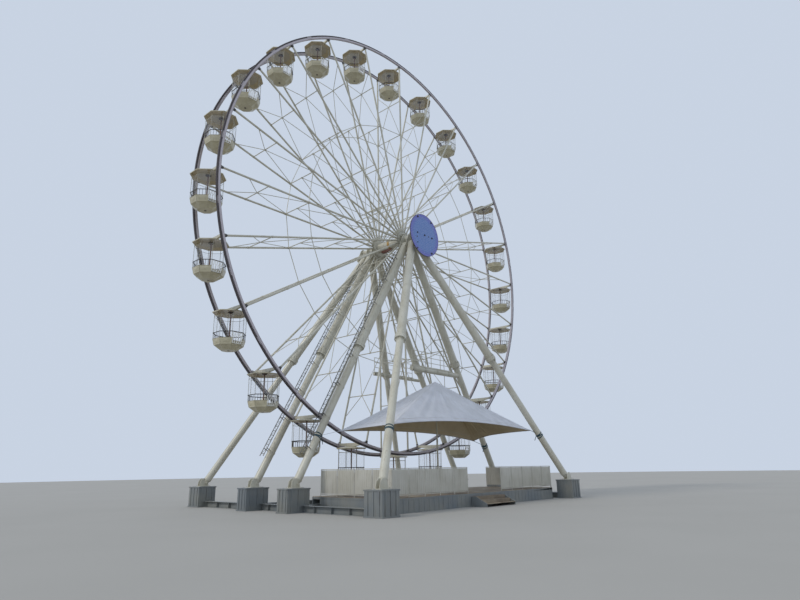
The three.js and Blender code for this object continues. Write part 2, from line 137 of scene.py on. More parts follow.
# %% [markdown]
# ## Paint and gelcoat that live outdoors
# Fairground steel is sprayed with gloss enamel, and the cabins are moulded glass fibre with a
# coloured gelcoat. Both weather in the same way: the surface dulls in soft clouds, rain draws thin
# brownish streaks down it, and the coat itself isn't flat. Sprayed enamel has orange peel about 3 mm
# across, which a picture of a 33 m wheel can't show, so it is drawn at 12 mm. Gelcoat has the long
# shallow wave of its mould instead. So one recipe serves both, with its own sizes for each.

# %% Weathered coats
def weathered(name, colour, bloom, streak, roughness, cloud, run, wave, depth, **sockets):
    """A coat with clouds of bloom, streaks of a run's width, and waves of a depth, all in metres."""
    material, tree, shader, place = blank_finish(name, roughness, IOR=1.5, **sockets)
    clouds = add(tree, "ShaderNodeTexNoise", {"Vector": place, "Scale": 1 / cloud, "Detail": 3.0})
    dull = add(tree, "ShaderNodeMapRange", {"Value": clouds, "From Min": 0.35, "From Max": 0.72})
    coat = add(tree, "ShaderNodeMix", {0: dull, 6: srgb(colour), 7: srgb(bloom)}, data_type="RGBA")
    drawn = add(tree, "ShaderNodeMapping", {"Vector": place, "Scale": (1 / run, 1 / run, 0.07 / run)})
    runs = add(tree, "ShaderNodeTexNoise", {"Vector": drawn, "Scale": 1.0, "Detail": 2.0})
    share = add(tree, "ShaderNodeMapRange", {"Value": runs, "From Min": 0.55, "From Max": 0.8, "To Max": 0.4})
    stained = add(tree, "ShaderNodeMix", {0: share, 6: coat, 7: srgb(streak)}, data_type="RGBA")
    waves = add(tree, "ShaderNodeTexNoise", {"Vector": place, "Scale": 1 / wave, "Detail": 1.0})
    relief = add(tree, "ShaderNodeBump", {"Height": waves, "Distance": depth, "Strength": 0.6})
    feed(tree, shader, {"Base Color": stained, "Normal": relief})
    return material


def enamel(name, colour, dust, streak, roughness=0.36):
    """Gloss enamel sprayed on steel."""
    return weathered(name, colour, dust, streak, roughness, 1.1, 0.09, 0.012, 0.0006,
                     Coat_Weight=0.15, Coat_Roughness=0.2)


def gelcoat(name, colour, bloom, grime):
    """Glass fibre from a mould: smoother than paint, with smaller clouds and a longer wave."""
    return weathered(name, colour, bloom, grime, 0.3, 0.5, 0.05, 0.16, 0.003,
                     Coat_Weight=0.25, Coat_Roughness=0.12)


CREAM = enamel("cream gloss enamel", "ccc9ba", "bcb7a5", "85795d")
WHITE = enamel("white gloss enamel", "f6f6f2", "e9e8e1", "b5ab93")
LILAC = enamel("lilac grey enamel", "b5adb0", "a29a9d", "6f6767", 0.42)
DARK_BROWN = enamel("dark brown enamel", "383032", "4a4142", "211b1c", 0.6)
CHARCOAL = enamel("charcoal satin enamel", "413f3e", "4f4c48", "2b2826", 0.5)
LADDER_GREY = enamel("weathered grey enamel", "62625d", "75746e", "3d3a35", 0.55)
# The posts' grey is painted shade: pale posts darkened as they look in shade under the roof.
SHADED_POST_GREY = enamel("post enamel darkened as painted shade", "a9a595", "979382", "6b6656", 0.45)
BASE_GREY = enamel("grey chassis enamel", "72787b", "858680", "5a4c3e", 0.55)
# The fence's ivory is darkened as painted shade, for a fence that stands in shade.
SHADED_FENCE_IVORY = enamel("ivory sheet enamel darkened as painted shade", "c6c3b8", "b5b1a3", "837b68", 0.45)
POLE_TAN = enamel("mauve tan enamel", "86695f", "78604f", "4a362f", 0.5)
# The brown of the box under the drum is painted shade.
DRUM_SHADE_BROWN = enamel("brown enamel as painted shade under the drum", "6f4337", "5f3b31", "3c2620", 0.5)
OCHRE = enamel("ochre enamel", "b98f45", "a47e40", "6b4a28", 0.45)
GELCOAT = gelcoat("ivory gelcoat", "c2bba0", "b0a88c", "746a4d")
# Liner and ceiling are the gelcoat painted darker, tan and olive, as painted shade under the roof.
SHADED_LINER_TAN = gelcoat("tan gelcoat as painted shade under the roof", "b3a27b", "bdac88", "7a6e50")
SHADED_CEILING_OLIVE = gelcoat("olive gelcoat as painted shade under the roof", "aa9f88", "b5aa93", "7c735c")
print("coats", len(bpy.data.materials))

# %% [markdown]
# ## Vinyl, clear sheet and zinc
# The bench is padded vinyl with a pebbled grain of 2 mm, drawn at 6 mm. The clear screens are
# polycarbonate: nearly invisible square on, with scratches that catch light. Real scratches are finer
# than 1 mm, and these are drawn 20 mm wide. Bolts and pins are hot-dip galvanised steel, whose zinc
# freezes into pale spangles about 15 mm across.

# %% Vinyl, polycarbonate and galvanised steel
SEAT_VINYL, tree, shader, place = blank_finish("brown seat vinyl", 0.5, IOR=1.5)
clouds = add(tree, "ShaderNodeTexNoise", {"Vector": place, "Scale": 3.3})
tint = add(tree, "ShaderNodeMix", {0: clouds, 6: srgb("6a4438"), 7: srgb("4b4240")}, data_type="RGBA")
grain = add(tree, "ShaderNodeTexVoronoi", {"Vector": place, "Scale": 1 / 0.006})
relief = add(tree, "ShaderNodeBump", {"Height": grain, "Distance": 0.0008, "Strength": 0.6})
feed(tree, shader, {"Base Color": tint, "Normal": relief})

CLEAR, tree, shader, place = blank_finish("clear polycarbonate", 0.1, IOR=1.58, Alpha=0.05)
haze = add(tree, "ShaderNodeTexNoise", {"Vector": place, "Scale": 4.0, "Detail": 4.0})
tint = add(tree, "ShaderNodeMix", {0: haze, 6: srgb("d2dde6"), 7: srgb("f4f6f6")}, data_type="RGBA")
drawn = add(tree, "ShaderNodeMapping", {"Vector": place, "Scale": (50, 50, 7)})
scratches = add(tree, "ShaderNodeTexNoise", {"Vector": drawn, "Scale": 1.0, "Detail": 2.0})
relief = add(tree, "ShaderNodeBump", {"Height": scratches, "Distance": 0.0004, "Strength": 0.6})
feed(tree, shader, {"Base Color": tint, "Normal": relief})

ZINC, tree, shader, place = blank_finish("galvanised steel", 0.42, metallic=0.9)
spangle = add(tree, "ShaderNodeTexVoronoi", {"Vector": place, "Scale": 1 / 0.015})
tint = add(tree, "ShaderNodeMix", {0: spangle, 6: srgb("c9ccce"), 7: srgb("8f9598")}, data_type="RGBA")
feed(tree, shader, {"Base Color": tint})

# %% [markdown]
# ## Deck boards, canvas and webbing
# The deck is phenolic plywood, a brown film over birch that wears pale where people walk. Its grain,
# a few millimetres wide, is drawn at 30 mm. The canopy is polyester canvas coated white, and its
# underside is tinted sand as painted light, for sunlight coming through the cloth. Some light passes
# through it too, and the weave is drawn 39 mm apart because the real 1 mm threads are far below a
# pixel. The straps are woven polyester, with ribs 4 mm apart drawn at 20 mm.
# A wave texture of scale 1 repeats every 0.314 m, so scales of 8 and 16 give those two widths.

# %% Plywood, canvas and webbing
PLYWOOD, tree, shader, place = blank_finish("film faced plywood", 0.6, IOR=1.5)
paths = add(tree, "ShaderNodeTexNoise", {"Vector": place, "Scale": 0.7, "Detail": 5.0})
worn = add(tree, "ShaderNodeMapRange", {"Value": paths, "From Min": 0.42, "From Max": 0.64})
film = add(tree, "ShaderNodeMix", {0: worn, 6: srgb("786a58"), 7: srgb("a3967f")}, data_type="RGBA")
drawn = add(tree, "ShaderNodeMapping", {"Vector": place, "Scale": (2.5, 33, 33)})
grain = add(tree, "ShaderNodeTexNoise", {"Vector": drawn, "Scale": 1.0, "Detail": 4.0})
share = add(tree, "ShaderNodeMapRange", {"Value": grain, "From Min": 0.45, "From Max": 0.7, "To Max": 0.4})
board = add(tree, "ShaderNodeMix", {0: share, 6: film, 7: srgb("5c4e3d")}, data_type="RGBA")
relief = add(tree, "ShaderNodeBump", {"Height": grain, "Distance": 0.0015, "Strength": 0.6})
feed(tree, shader, {"Base Color": board, "Normal": relief})


def canvas(name, colour, dirt, light, share):
    """Coated canvas that passes a share of the light, in the light's own tint."""
    material, tree, shader, place = blank_finish(name, 0.5, IOR=1.5, Sheen_Weight=0.2)
    stains = add(tree, "ShaderNodeTexNoise", {"Vector": place, "Scale": 1.2, "Detail": 4.0})
    soiled = add(tree, "ShaderNodeMapRange", {"Value": stains, "From Min": 0.4, "From Max": 0.8})
    tint = add(tree, "ShaderNodeMix", {0: soiled, 6: srgb(colour), 7: srgb(dirt)}, data_type="RGBA")
    weave = add(tree, "ShaderNodeTexWave", {"Vector": place, "Scale": 8.0}, bands_direction="X")
    threads = weave.outputs["Fac"]
    relief = add(tree, "ShaderNodeBump", {"Height": threads, "Distance": 0.0006, "Strength": 0.6})
    feed(tree, shader, {"Base Color": tint, "Normal": relief})
    glow = add(tree, "ShaderNodeBsdfTranslucent", {"Color": srgb(light)})
    both = add(tree, "ShaderNodeMixShader", {0: share, 1: shader, 2: glow})
    feed(tree, tree.nodes["Material Output"], {"Surface": both})
    return material


CANVAS = canvas("white coated canvas", "d7dae2", "c2c5cb", "d9c8a6", 0.1)
# The underside's sand tint is painted light: sunlight coming through the cloth.
CANVAS_LIT_THROUGH = canvas("canvas underside tinted sand as painted light", "ddd0b4", "c9bc9e", "e0cda6", 0.3)

WEBBING, tree, shader, place = blank_finish("teal polyester webbing", 0.7, Sheen_Weight=0.3)
fading = add(tree, "ShaderNodeTexNoise", {"Vector": place, "Scale": 12.0})
tint = add(tree, "ShaderNodeMix", {0: fading, 6: srgb("14313d"), 7: srgb("24505c")}, data_type="RGBA")
ribs = add(tree, "ShaderNodeTexWave", {"Vector": place, "Scale": 16.0}, bands_direction="Z")
relief = add(tree, "ShaderNodeBump", {"Height": ribs.outputs["Fac"], "Distance": 0.001, "Strength": 0.6})
feed(tree, shader, {"Base Color": tint, "Normal": relief})

# %% [markdown]
# ## Lamp covers
# Both rims carry a strip of lamps behind a pale cover, unlit by day. The round board in front of the
# hub is a disc of lamp panels. By day it reads as one blue face with a fine speckle of lamp lenses,
# which turns violet towards the edge, where the lamps are set closer. The lenses are 40 mm apart on
# the real one, and drawn at 130 mm on the board and 60 mm on the rims so that they show.

# %% Lamp covers
board_low, board_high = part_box("front_board")
BOARD_RADIUS = (board_high.x - board_low.x) / 2
BOARD_DEPTH = board_high.y - board_low.y
BOARD_FRONT = Vector((HUB.x, board_low.y, board_high.z - BOARD_RADIUS))


def lamp_cover(name, middle, edge, lens, pitch):
    """A plastic cover with rows of lenses behind it, which turns from one tint to another between
    0.72 of the board's radius and its edge."""
    material, tree, shader, place = blank_finish(name, 0.3, IOR=1.5, Coat_Weight=0.2)
    reach = add(tree, "ShaderNodeVectorMath", {0: place, 1: BOARD_FRONT}, operation="DISTANCE")
    near = add(tree, "ShaderNodeMapRange", {
        "Value": reach, "From Min": 0.72 * BOARD_RADIUS, "From Max": BOARD_RADIUS})
    tint = add(tree, "ShaderNodeMix", {0: near, 6: srgb(middle), 7: srgb(edge)}, data_type="RGBA")
    cells = add(tree, "ShaderNodeTexVoronoi", {"Vector": place, "Scale": 1 / pitch, "Randomness": 0.4})
    spot = add(tree, "ShaderNodeMapRange", {
        "Value": cells, "From Min": 0.15, "From Max": 0.5, "To Min": 0.7, "To Max": 0.0})
    dotted = add(tree, "ShaderNodeMix", {0: spot, 6: tint, 7: srgb(lens)}, data_type="RGBA")
    relief = add(tree, "ShaderNodeBump", {"Height": cells, "Distance": 0.004, "Strength": 0.6})
    feed(tree, shader, {"Base Color": dotted, "Normal": relief})
    return material


BOARD_FACE = lamp_cover("blue violet lamp panel", "5a80c1", "6153bb", "93a0cf", 0.13)
STRIP = lamp_cover("pale strip cover", "c0b8bd", "c0b8bd", "d3cdd0", 0.06)
print("finishes", len(bpy.data.materials))

# %% [markdown]
# ## Tubes along edges
# Most of this object is tube: spokes, struts, rails, ladders and legs. Each tube is drawn as one edge
# with its own half width, and one Geometry Nodes tree turns edges into curves and sweeps a round
# profile along them. The result is made a plain mesh, and the modifier is taken off again.

# %% Helpers for Geometry Nodes
def group_with(name, sockets):
    """A Geometry Nodes tree with a geometry in and out, and named inputs."""
    tree = bpy.data.node_groups.new(name, "GeometryNodeTree")
    tree.interface.new_socket("Geometry", in_out="INPUT", socket_type="NodeSocketGeometry")
    for label, kind in sockets.items():
        tree.interface.new_socket(label, in_out="INPUT", socket_type=f"NodeSocket{kind}")
    tree.interface.new_socket("Geometry", in_out="OUTPUT", socket_type="NodeSocketGeometry")
    return tree, add(tree, "NodeGroupInput").outputs


def finish_group(tree, geometry, material):
    """Real geometry in one material at the end of a tree."""
    real = add(tree, "GeometryNodeRealizeInstances", {"Geometry": geometry})
    coated = add(tree, "GeometryNodeSetMaterial", {"Geometry": real, "Material": material})
    add(tree, "NodeGroupOutput", {"Geometry": coated})


def grown(name, mesh, tree, **values):
    """The mesh that a tree makes from another mesh. Values go to the tree's inputs by name."""
    source = bpy.data.objects.new(name, mesh)
    bpy.context.scene.collection.objects.link(source)
    grow = source.modifiers.new("grow", "NODES")
    grow.node_group = tree
    for item in tree.interface.items_tree:
        if item.in_out == "INPUT" and item.name in values:
            grow[item.identifier] = values[item.name]
    made = bpy.data.meshes.new_from_object(source.evaluated_get(bpy.context.evaluated_depsgraph_get()))
    bpy.data.objects.remove(source)
    made.name = name
    return made


# %% The tube tree
TUBES, given = group_with("tubes along edges", {"Sides": "Int", "Material": "Material"})
line = add(TUBES, "GeometryNodeMeshToCurve", {"Mesh": given["Geometry"]})
width = add(TUBES, "GeometryNodeInputNamedAttribute", {"Name": "half_width"})
section = add(TUBES, "GeometryNodeCurvePrimitiveCircle", {"Resolution": given["Sides"], "Radius": 1.0})
swept = add(TUBES, "GeometryNodeCurveToMesh", {
    "Curve": line, "Profile Curve": section, "Scale": width, "Fill Caps": True})
finish_group(TUBES, swept, given["Material"])


def shaded(mesh, angle=35, turn_out=False):
    """Smooth shading, kept crisp at edges sharper than an angle. Faces may first be turned outwards."""
    mesh.shade_smooth()
    bm = bmesh.new()
    bm.from_mesh(mesh)
    if turn_out:
        bmesh.ops.recalc_face_normals(bm, faces=bm.faces)
    for edge in bm.edges:
        edge.smooth = edge.is_manifold and edge.calc_face_angle(0) < math.radians(angle)
    bm.to_mesh(mesh)
    bm.free()
    return mesh


def tubes(name, bars, sides, material):
    """A mesh of tubes. Each bar is its start, its end and its half width."""
    mesh = bpy.data.meshes.new(name)
    points = [point for start, end, _ in bars for point in (start, end)]
    mesh.from_pydata(points, [(2 * i, 2 * i + 1) for i in range(len(bars))], [])
    width = mesh.attributes.new("half_width", "FLOAT", "POINT")
    width.data.foreach_set("value", [half for _, _, half in bars for _ in range(2)])
    return shaded(grown(name, mesh, TUBES, Sides=sides, Material=material))


print("tube tree", len(TUBES.nodes), "nodes")

# %% [markdown]
# ## Bolts on points
# A bolted machine has thousands of bolts, so a bolt is a point with the direction that its head
# faces. A second tree puts a hexagon head on a round washer at every point, turned to that direction
# and scaled to the bolt's size, so the sizes in the tree are shares of the bolt's half width.

# %% The bolt tree
BOLTS, given = group_with("bolts on points", {"Material": "Material"})
head = add(BOLTS, "GeometryNodeMeshCylinder", {"Vertices": 6, "Radius": 0.9, "Depth": 0.8})
raised = add(BOLTS, "GeometryNodeTransform", {"Geometry": head, "Translation": (0, 0, 0.6)})
washer = add(BOLTS, "GeometryNodeMeshCylinder", {"Vertices": 10, "Radius": 1.25, "Depth": 0.25})
both = add(BOLTS, "GeometryNodeJoinGeometry", {"Geometry": [washer, raised]})
way = add(BOLTS, "GeometryNodeInputNamedAttribute", {"Name": "facing"}, data_type="FLOAT_VECTOR")
turn = add(BOLTS, "FunctionNodeAlignRotationToVector", {"Vector": way}, axis="Z")
size = add(BOLTS, "GeometryNodeInputNamedAttribute", {"Name": "size"})
heads = add(BOLTS, "GeometryNodeInstanceOnPoints", {
    "Points": given["Geometry"], "Instance": both, "Rotation": turn, "Scale": size})
finish_group(BOLTS, heads, given["Material"])


def bolts(name, places, material=None):
    """A mesh of bolt heads. Each is its place, the way it faces and its half width."""
    mesh = bpy.data.meshes.new(name)
    mesh.from_pydata([place for place, _, _ in places], [], [])
    facing = mesh.attributes.new("facing", "FLOAT_VECTOR", "POINT")
    facing.data.foreach_set("vector", [value for _, way, _ in places for value in way])
    size = mesh.attributes.new("size", "FLOAT", "POINT")
    size.data.foreach_set("value", [half for _, _, half in places])
    return shaded(grown(name, mesh, BOLTS, Material=material or ZINC))


print("bolt tree", len(BOLTS.nodes), "nodes")

# %% [markdown]
# ## Plates, blocks and turned parts
# What isn't tube is plate or a turned part. Four helpers add to a mesh: a block, an outline with a
# thickness, a body of revolution and the plain ring that is most of those. A fifth makes the turn, a
# matrix that says where a part stands and which way it faces, so that a part on a raking leg is drawn
# as simply as one on level ground.

# %% Blocks, plates, turned parts and turns
def block(bm, low, high, turn=None):
    """A box between two corners, in the space of a turn."""
    low, high = Vector(low), Vector(high)
    matrix = (turn or Matrix()) @ Matrix.Translation((high + low) / 2) @ Matrix.Diagonal((*(high - low), 1))
    bmesh.ops.create_cube(bm, size=1, matrix=matrix)


def plate(bm, outline, thickness, turn):
    """A flat outline in the turn's XY plane, with its thickness along the turn's Z."""
    lower = [bm.verts.new(turn @ Vector((x, y, -thickness / 2))) for x, y in outline]
    upper = [bm.verts.new(turn @ Vector((x, y, thickness / 2))) for x, y in outline]
    bm.faces.new(lower[::-1])
    bm.faces.new(upper)
    for i in range(len(outline)):
        j = (i + 1) % len(outline)
        bm.faces.new((lower[i], lower[j], upper[j], upper[i]))


def turned(bm, profile, turn, sides=32):
    """A profile of [radius, height] points, spun about the turn's Z. It closes on itself, or at the
    axis where it starts and ends there."""
    rings = []
    for radius, height in profile:
        angles = (2 * math.pi * i / sides for i in range(sides if radius > 1e-6 else 1))
        rings.append([bm.verts.new(turn @ Vector((radius * math.cos(a), radius * math.sin(a), height)))
                      for a in angles])
    closed = len(rings[0]) > 1 and len(rings[-1]) > 1
    for lower, upper in list(zip(rings, rings[1:])) + ([(rings[-1], rings[0])] if closed else []):
        for i in range(sides):
            j = (i + 1) % sides
            corners = dict.fromkeys((lower[i % len(lower)], lower[j % len(lower)],
                                     upper[j % len(upper)], upper[i % len(upper)]))
            if len(corners) > 2:
                bm.faces.new(corners)


def collar(bm, radii, heights, turn, sides):
    """A ring between two radii and two heights about the turn's Z, or a disc from a radius of 0."""
    (inner, outer), (low, high) = radii, heights
    turned(bm, [(inner, low), (outer, low), (outer, high), (inner, high)], turn, sides)


def facing(axis, origin=(0, 0, 0), up=(0, 0, 1)):
    """A turn whose Z is an axis, whose Y leans to up, and whose origin is a point."""
    z, up = Vector(axis).normalized(), Vector(up)
    if abs(z.dot(up.normalized())) > 0.999:
        up = Vector((0, 1, 0))
    x = up.cross(z).normalized()
    return Matrix.Translation(Vector(origin)) @ Matrix((x, z.cross(x), z)).transposed().to_4x4()


# %% [markdown]
# ## From shapes to pieces
# Every sharp edge of a real weldment is ground, so a shape gets a small bevel, which is what catches a
# thin line of light along each edge. Shapes that are bolted or welded together are joined as one
# piece, and a piece goes on its body in place of the plain solid that it dresses.

# %% Formed, joined and placed
def formed(name, build, material, bevel=0.0, crease=35):
    """A mesh made by a function that fills a bmesh, with outward normals, bevelled edges and crisp
    creases."""
    bm = bmesh.new()
    build(bm)
    bmesh.ops.remove_doubles(bm, verts=bm.verts, dist=1e-5)
    bmesh.ops.recalc_face_normals(bm, faces=bm.faces)
    if bevel:
        edges = [e for e in bm.edges if e.is_manifold and e.calc_face_angle(0) > math.radians(30)]
        bmesh.ops.bevel(bm, geom=edges, offset=bevel, segments=2, affect="EDGES", profile=0.7,
                        clamp_overlap=True)
    mesh = bpy.data.meshes.new(name)
    bm.to_mesh(mesh)
    bm.free()
    mesh.materials.append(material)
    return shaded(mesh, crease)


def joined(name, *meshes):
    """Several meshes as one, each with its own materials."""
    whole = bpy.data.meshes.new(name)
    bm = bmesh.new()
    for mesh in meshes:
        start = len(bm.faces)
        bm.from_mesh(mesh)
        for material in filter(None, mesh.materials):
            if material.name not in whole.materials:
                whole.materials.append(material)
        bm.faces.ensure_lookup_table()
        for face in bm.faces[start:]:
            face.material_index = whole.materials.find(mesh.materials[face.material_index].name)
    bm.to_mesh(whole)
    bm.free()
    return whole


def placed(name, mesh, body, slot, *nodes):
    """A finished piece: on its body, in place of the CAD nodes that it dresses. Its slot is not used."""
    piece = bpy.data.objects.new(name, mesh)
    bpy.context.scene.collection.objects.link(piece)
    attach(piece, body)
    if nodes:
        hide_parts(*nodes)
    return piece


# %% [markdown]
# ## One cabin
# Each cabin is an octagon: a tapered tub, a band of eight panels, posts, rails and a shallow roof.
# The band's panel towards the boarding side is a gate of white lattice. The heights below run up
# from the bottom of the tub and are the same for all cabins, so one cabin is built about its axle
# and 24 copies are moved to their axles.

# %% The cabin's octagon
DROP = AXLES[0].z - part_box("cabin_01")[0].z
FLOOR, SHOULDER, SEAT, BAND, MID_RAIL, TOP_RAIL = 0.06, 0.25, 0.42, 0.58, 0.90, 1.80
ROOF_EDGE, ROOF_LIP, LINER_TOP, ROOF_HIP, CEILING, ROOF_CROWN = 2.01, 2.06, 2.086, 2.105, 2.118, 2.145
BOTTOM_HALF, FLOOR_HALF, SHOULDER_HALF, BAND_HALF = 0.38, 0.40, 0.72, 0.80
SEAT_FRONT, SEAT_BACK = 0.42, 0.70
CROWN_HALF, CEILING_HALF, HIP_HALF, ROOF_HALF = 0.26, 0.58, 0.62, 0.90
WALL, RAIL_HALF = 0.04, 0.78
GATE_SIDE = 5
CLOSED_SIDES = [i for i in range(8) if i != GATE_SIDE]
print(f"axle {DROP:.3f} m above the bottom of the tub")


def corner(half, height, i):
    """A corner of the octagon with flats facing X and Y, half being from the middle to a flat."""
    angle = math.radians(22.5 + 45 * i)
    reach = half / math.cos(math.radians(22.5))
    return Vector((reach * math.cos(angle), reach * math.sin(angle), height - DROP))


def octagon_shell(bm, profile, closed=False):
    """Eight flat sides between rings of [half, height] points. Returns the faces of each step."""
    rings = [[bm.verts.new(corner(half, height, i)) for i in range(8)] for half, height in profile]
    steps = []
    for lower, upper in zip(rings, rings[1:] + (rings[:1] if closed else [])):
        steps.append([bm.faces.new((lower[i - 1], lower[i], upper[i], upper[i - 1])) for i in range(8)])
    if not closed:
        bm.faces.new(rings[0][::-1])
        bm.faces.new(rings[-1])
    return steps


# %% [markdown]
# The tub is one closed shell with a bench moulded round the inside. Its panels are pressed with a
# shallow cross, made by poking each face, and those of the band are recessed inside a raised border,
# made by insetting them first. Under the roof a liner slopes up to a shallow ceiling, both gelcoat
# darkened to tan and olive as painted shade under the roof.

# %% Tub and band
TUB_BORDER, TUB_CROSS = 0.03, 0.035
BAND_BORDER, BAND_RECESS, BAND_CROSS = 0.045, 0.014, 1.3  # the last is a share of the recess


def tub_form(bm):
    steps = octagon_shell(bm, [
        (BOTTOM_HALF, 0), (SHOULDER_HALF, SHOULDER), (SHOULDER_HALF - WALL, SHOULDER), (SEAT_BACK, SEAT),
        (SEAT_FRONT, SEAT), (FLOOR_HALF, FLOOR)])
    bmesh.ops.recalc_face_normals(bm, faces=bm.faces)
    bmesh.ops.inset_individual(bm, faces=steps[0], thickness=TUB_BORDER, depth=0.0)
    bmesh.ops.poke(bm, faces=steps[0], offset=-TUB_CROSS)


def band_form(bm):
    """The band round the tub, open at the gate's side."""
    rows = [(SHOULDER_HALF, SHOULDER), (BAND_HALF, BAND), (BAND_HALF - WALL, BAND),
            (SHOULDER_HALF - WALL, SHOULDER)]
    for i in CLOSED_SIDES:
        left = [bm.verts.new(corner(half, height, i)) for half, height in rows]
        right = [bm.verts.new(corner(half, height, i + 1)) for half, height in rows]
        sides = [bm.faces.new((left[k], right[k], right[(k + 1) % 4], left[(k + 1) % 4])) for k in range(4)]
        bm.faces.new(left[::-1])
        bm.faces.new(right)
        panel = sides[0]
        panel.normal_update()
        middle = panel.calc_center_median() * Vector((1, 1, 0))
        inward = panel.normal * (-BAND_RECESS if panel.normal.dot(middle) > 0 else BAND_RECESS)
        bmesh.ops.inset_individual(bm, faces=[panel], thickness=BAND_BORDER)
        for vert in panel.verts:
            vert.co += inward
        for vert in bmesh.ops.poke(bm, faces=[panel])["verts"]:
            vert.co -= inward * BAND_CROSS


# %% Roof, liner, ceiling and bench
def roof_form(bm):
    octagon_shell(bm, [
        (CROWN_HALF, CEILING + 0.01), (CEILING_HALF, LINER_TOP + 0.009),
        (ROOF_HALF - 0.014, ROOF_EDGE + 0.012), (ROOF_HALF - 0.012, ROOF_EDGE),
        (ROOF_HALF, ROOF_EDGE), (ROOF_HALF, ROOF_LIP), (HIP_HALF, ROOF_HIP), (CROWN_HALF, ROOF_CROWN)])


def liner_form(bm):
    octagon_shell(bm, [
        (CEILING_HALF, LINER_TOP - 0.01), (ROOF_HALF - 0.016, ROOF_EDGE + 0.002),
        (ROOF_HALF - 0.016, ROOF_EDGE + 0.008), (CEILING_HALF, LINER_TOP)], closed=True)


def ceiling_form(bm):
    octagon_shell(bm, [(CROWN_HALF - 0.02, CEILING), (CEILING_HALF, LINER_TOP - 0.006),
                       (CEILING_HALF + 0.01, LINER_TOP), (CROWN_HALF, CEILING + 0.006)])


def bench_pad(bm):
    front, back, low, high = SEAT_FRONT + 0.02, SEAT_BACK - 0.01, SEAT + 0.005, SEAT + 0.035
    octagon_shell(bm, [(front, low), (front, high), (back, high), (back, low)], closed=True)


# The liner and the ceiling carry the painted shade under the roof.
cabin_shell = joined(
    "cabin_shell", formed("tub", tub_form, GELCOAT, 0.006, 3), formed("band", band_form, GELCOAT, 0.005, 3),
    formed("roof", roof_form, GELCOAT, 0.006), formed("liner", liner_form, SHADED_LINER_TAN),
    formed("ceiling", ceiling_form, SHADED_CEILING_OLIVE), formed("bench", bench_pad, SEAT_VINYL, 0.01))
print("shell faces", len(cabin_shell.polygons))

# %% [markdown]
# Posts, rails and the lattice gate are welded from thin tube, so they are bars for the tube tree.
# The posts and the top rail are grey as painted shade, the mid rail and its stubs charcoal, the gate
# white, and the centre pole tan with a dark collar under the ceiling.

# %% Posts, rails, gate and pole
POST_TUBE, SLIM_TUBE, RAIL_TUBE, POLE_TUBE = 0.012, 0.01, 0.022, 0.042
GATE_TUBE, GATE_SLAT, GATE_CROSSES = 0.016, 0.013, 4


def between(a, b, share):
    return a + (b - a) * share


def ring_bars(half, height, radius):
    return [(corner(half, height, i), corner(half, height, i + 1), radius) for i in range(8)]


def uprights(shares, low, high, radius, sides=range(8)):
    """Upright bars at shares of each side of the octagon, on the line of the rails."""
    bars = []
    for i in sides:
        for share in shares:
            ends = [between(corner(RAIL_HALF, z, i), corner(RAIL_HALF, z, i + 1), share) for z in (low, high)]
            bars.append((*ends, radius))
    return bars


def gate_bars():
    """A frame of tube with crossing slats, in the open side of the band."""
    low = [corner(SHOULDER_HALF, SHOULDER + 0.05, GATE_SIDE + k) for k in (0, 1)]
    high = [corner(BAND_HALF, MID_RAIL - 0.04, GATE_SIDE + k) for k in (0, 1)]
    left, right = ([between(*low, share), between(*high, share)] for share in (0.06, 0.94))
    bars = [(*ends, GATE_TUBE) for ends in (left, right, (left[0], right[0]), (left[1], right[1]))]
    for i in range(GATE_CROSSES):
        near, far = i / GATE_CROSSES, (i + 1) / GATE_CROSSES
        for foot, top in ((near, far), (far, near)):
            bars.append((between(left[0], right[0], foot), between(left[1], right[1], top), GATE_SLAT))
    return bars


def pole_form(bm):
    top, foot = CEILING - DROP, FLOOR - DROP
    collar = [(0, top - 0.06), (0.1, top - 0.06), (0.16, top - 0.025), (0.16, top), (0, top)]
    flange = [(0, foot), (0.12, foot), (0.12, foot + 0.02), (0.06, foot + 0.05), (0, foot + 0.05)]
    turned(bm, collar, Matrix(), 16)
    turned(bm, flange, Matrix(), 16)


def drain_form(bm):
    low, high = -DROP - 0.006, 0.01 - DROP
    turned(bm, [(0, low), (0.065, low), (0.075, high), (0, high)], Matrix(), 16)


posts = uprights([0], BAND - 0.02, ROOF_EDGE + 0.025, POST_TUBE)
stubs = uprights([0.25, 0.5, 0.75], BAND - 0.01, MID_RAIL, SLIM_TUBE, CLOSED_SIDES)
pole = (Vector((0, 0, FLOOR - 0.01 - DROP)), Vector((0, 0, CEILING - 0.01 - DROP)), POLE_TUBE)
# The posts and the top rail take the grey that is painted shade.
cabin_frame = joined(
    "cabin_frame", tubes("posts", posts + ring_bars(RAIL_HALF, TOP_RAIL, SLIM_TUBE), 8, SHADED_POST_GREY),
    tubes("rails", stubs + ring_bars(RAIL_HALF + 0.01, MID_RAIL, RAIL_TUBE), 8, CHARCOAL),
    tubes("gate", gate_bars(), 8, WHITE), tubes("pole", [pole], 16, POLE_TAN),
    formed("pole_ends", pole_form, DARK_BROWN, 0.004), formed("drain", drain_form, DARK_BROWN))
print("frame faces", len(cabin_frame.polygons))

# %% [markdown]
# Clear sheets close the sides between the mid rail and the top rail. They are thin, but each has two
# faces and four edges, because light bends at both faces of a real sheet.

# %% Clear screens
SCREEN_THICK, SCREEN_MARGIN = 0.005, 0.03


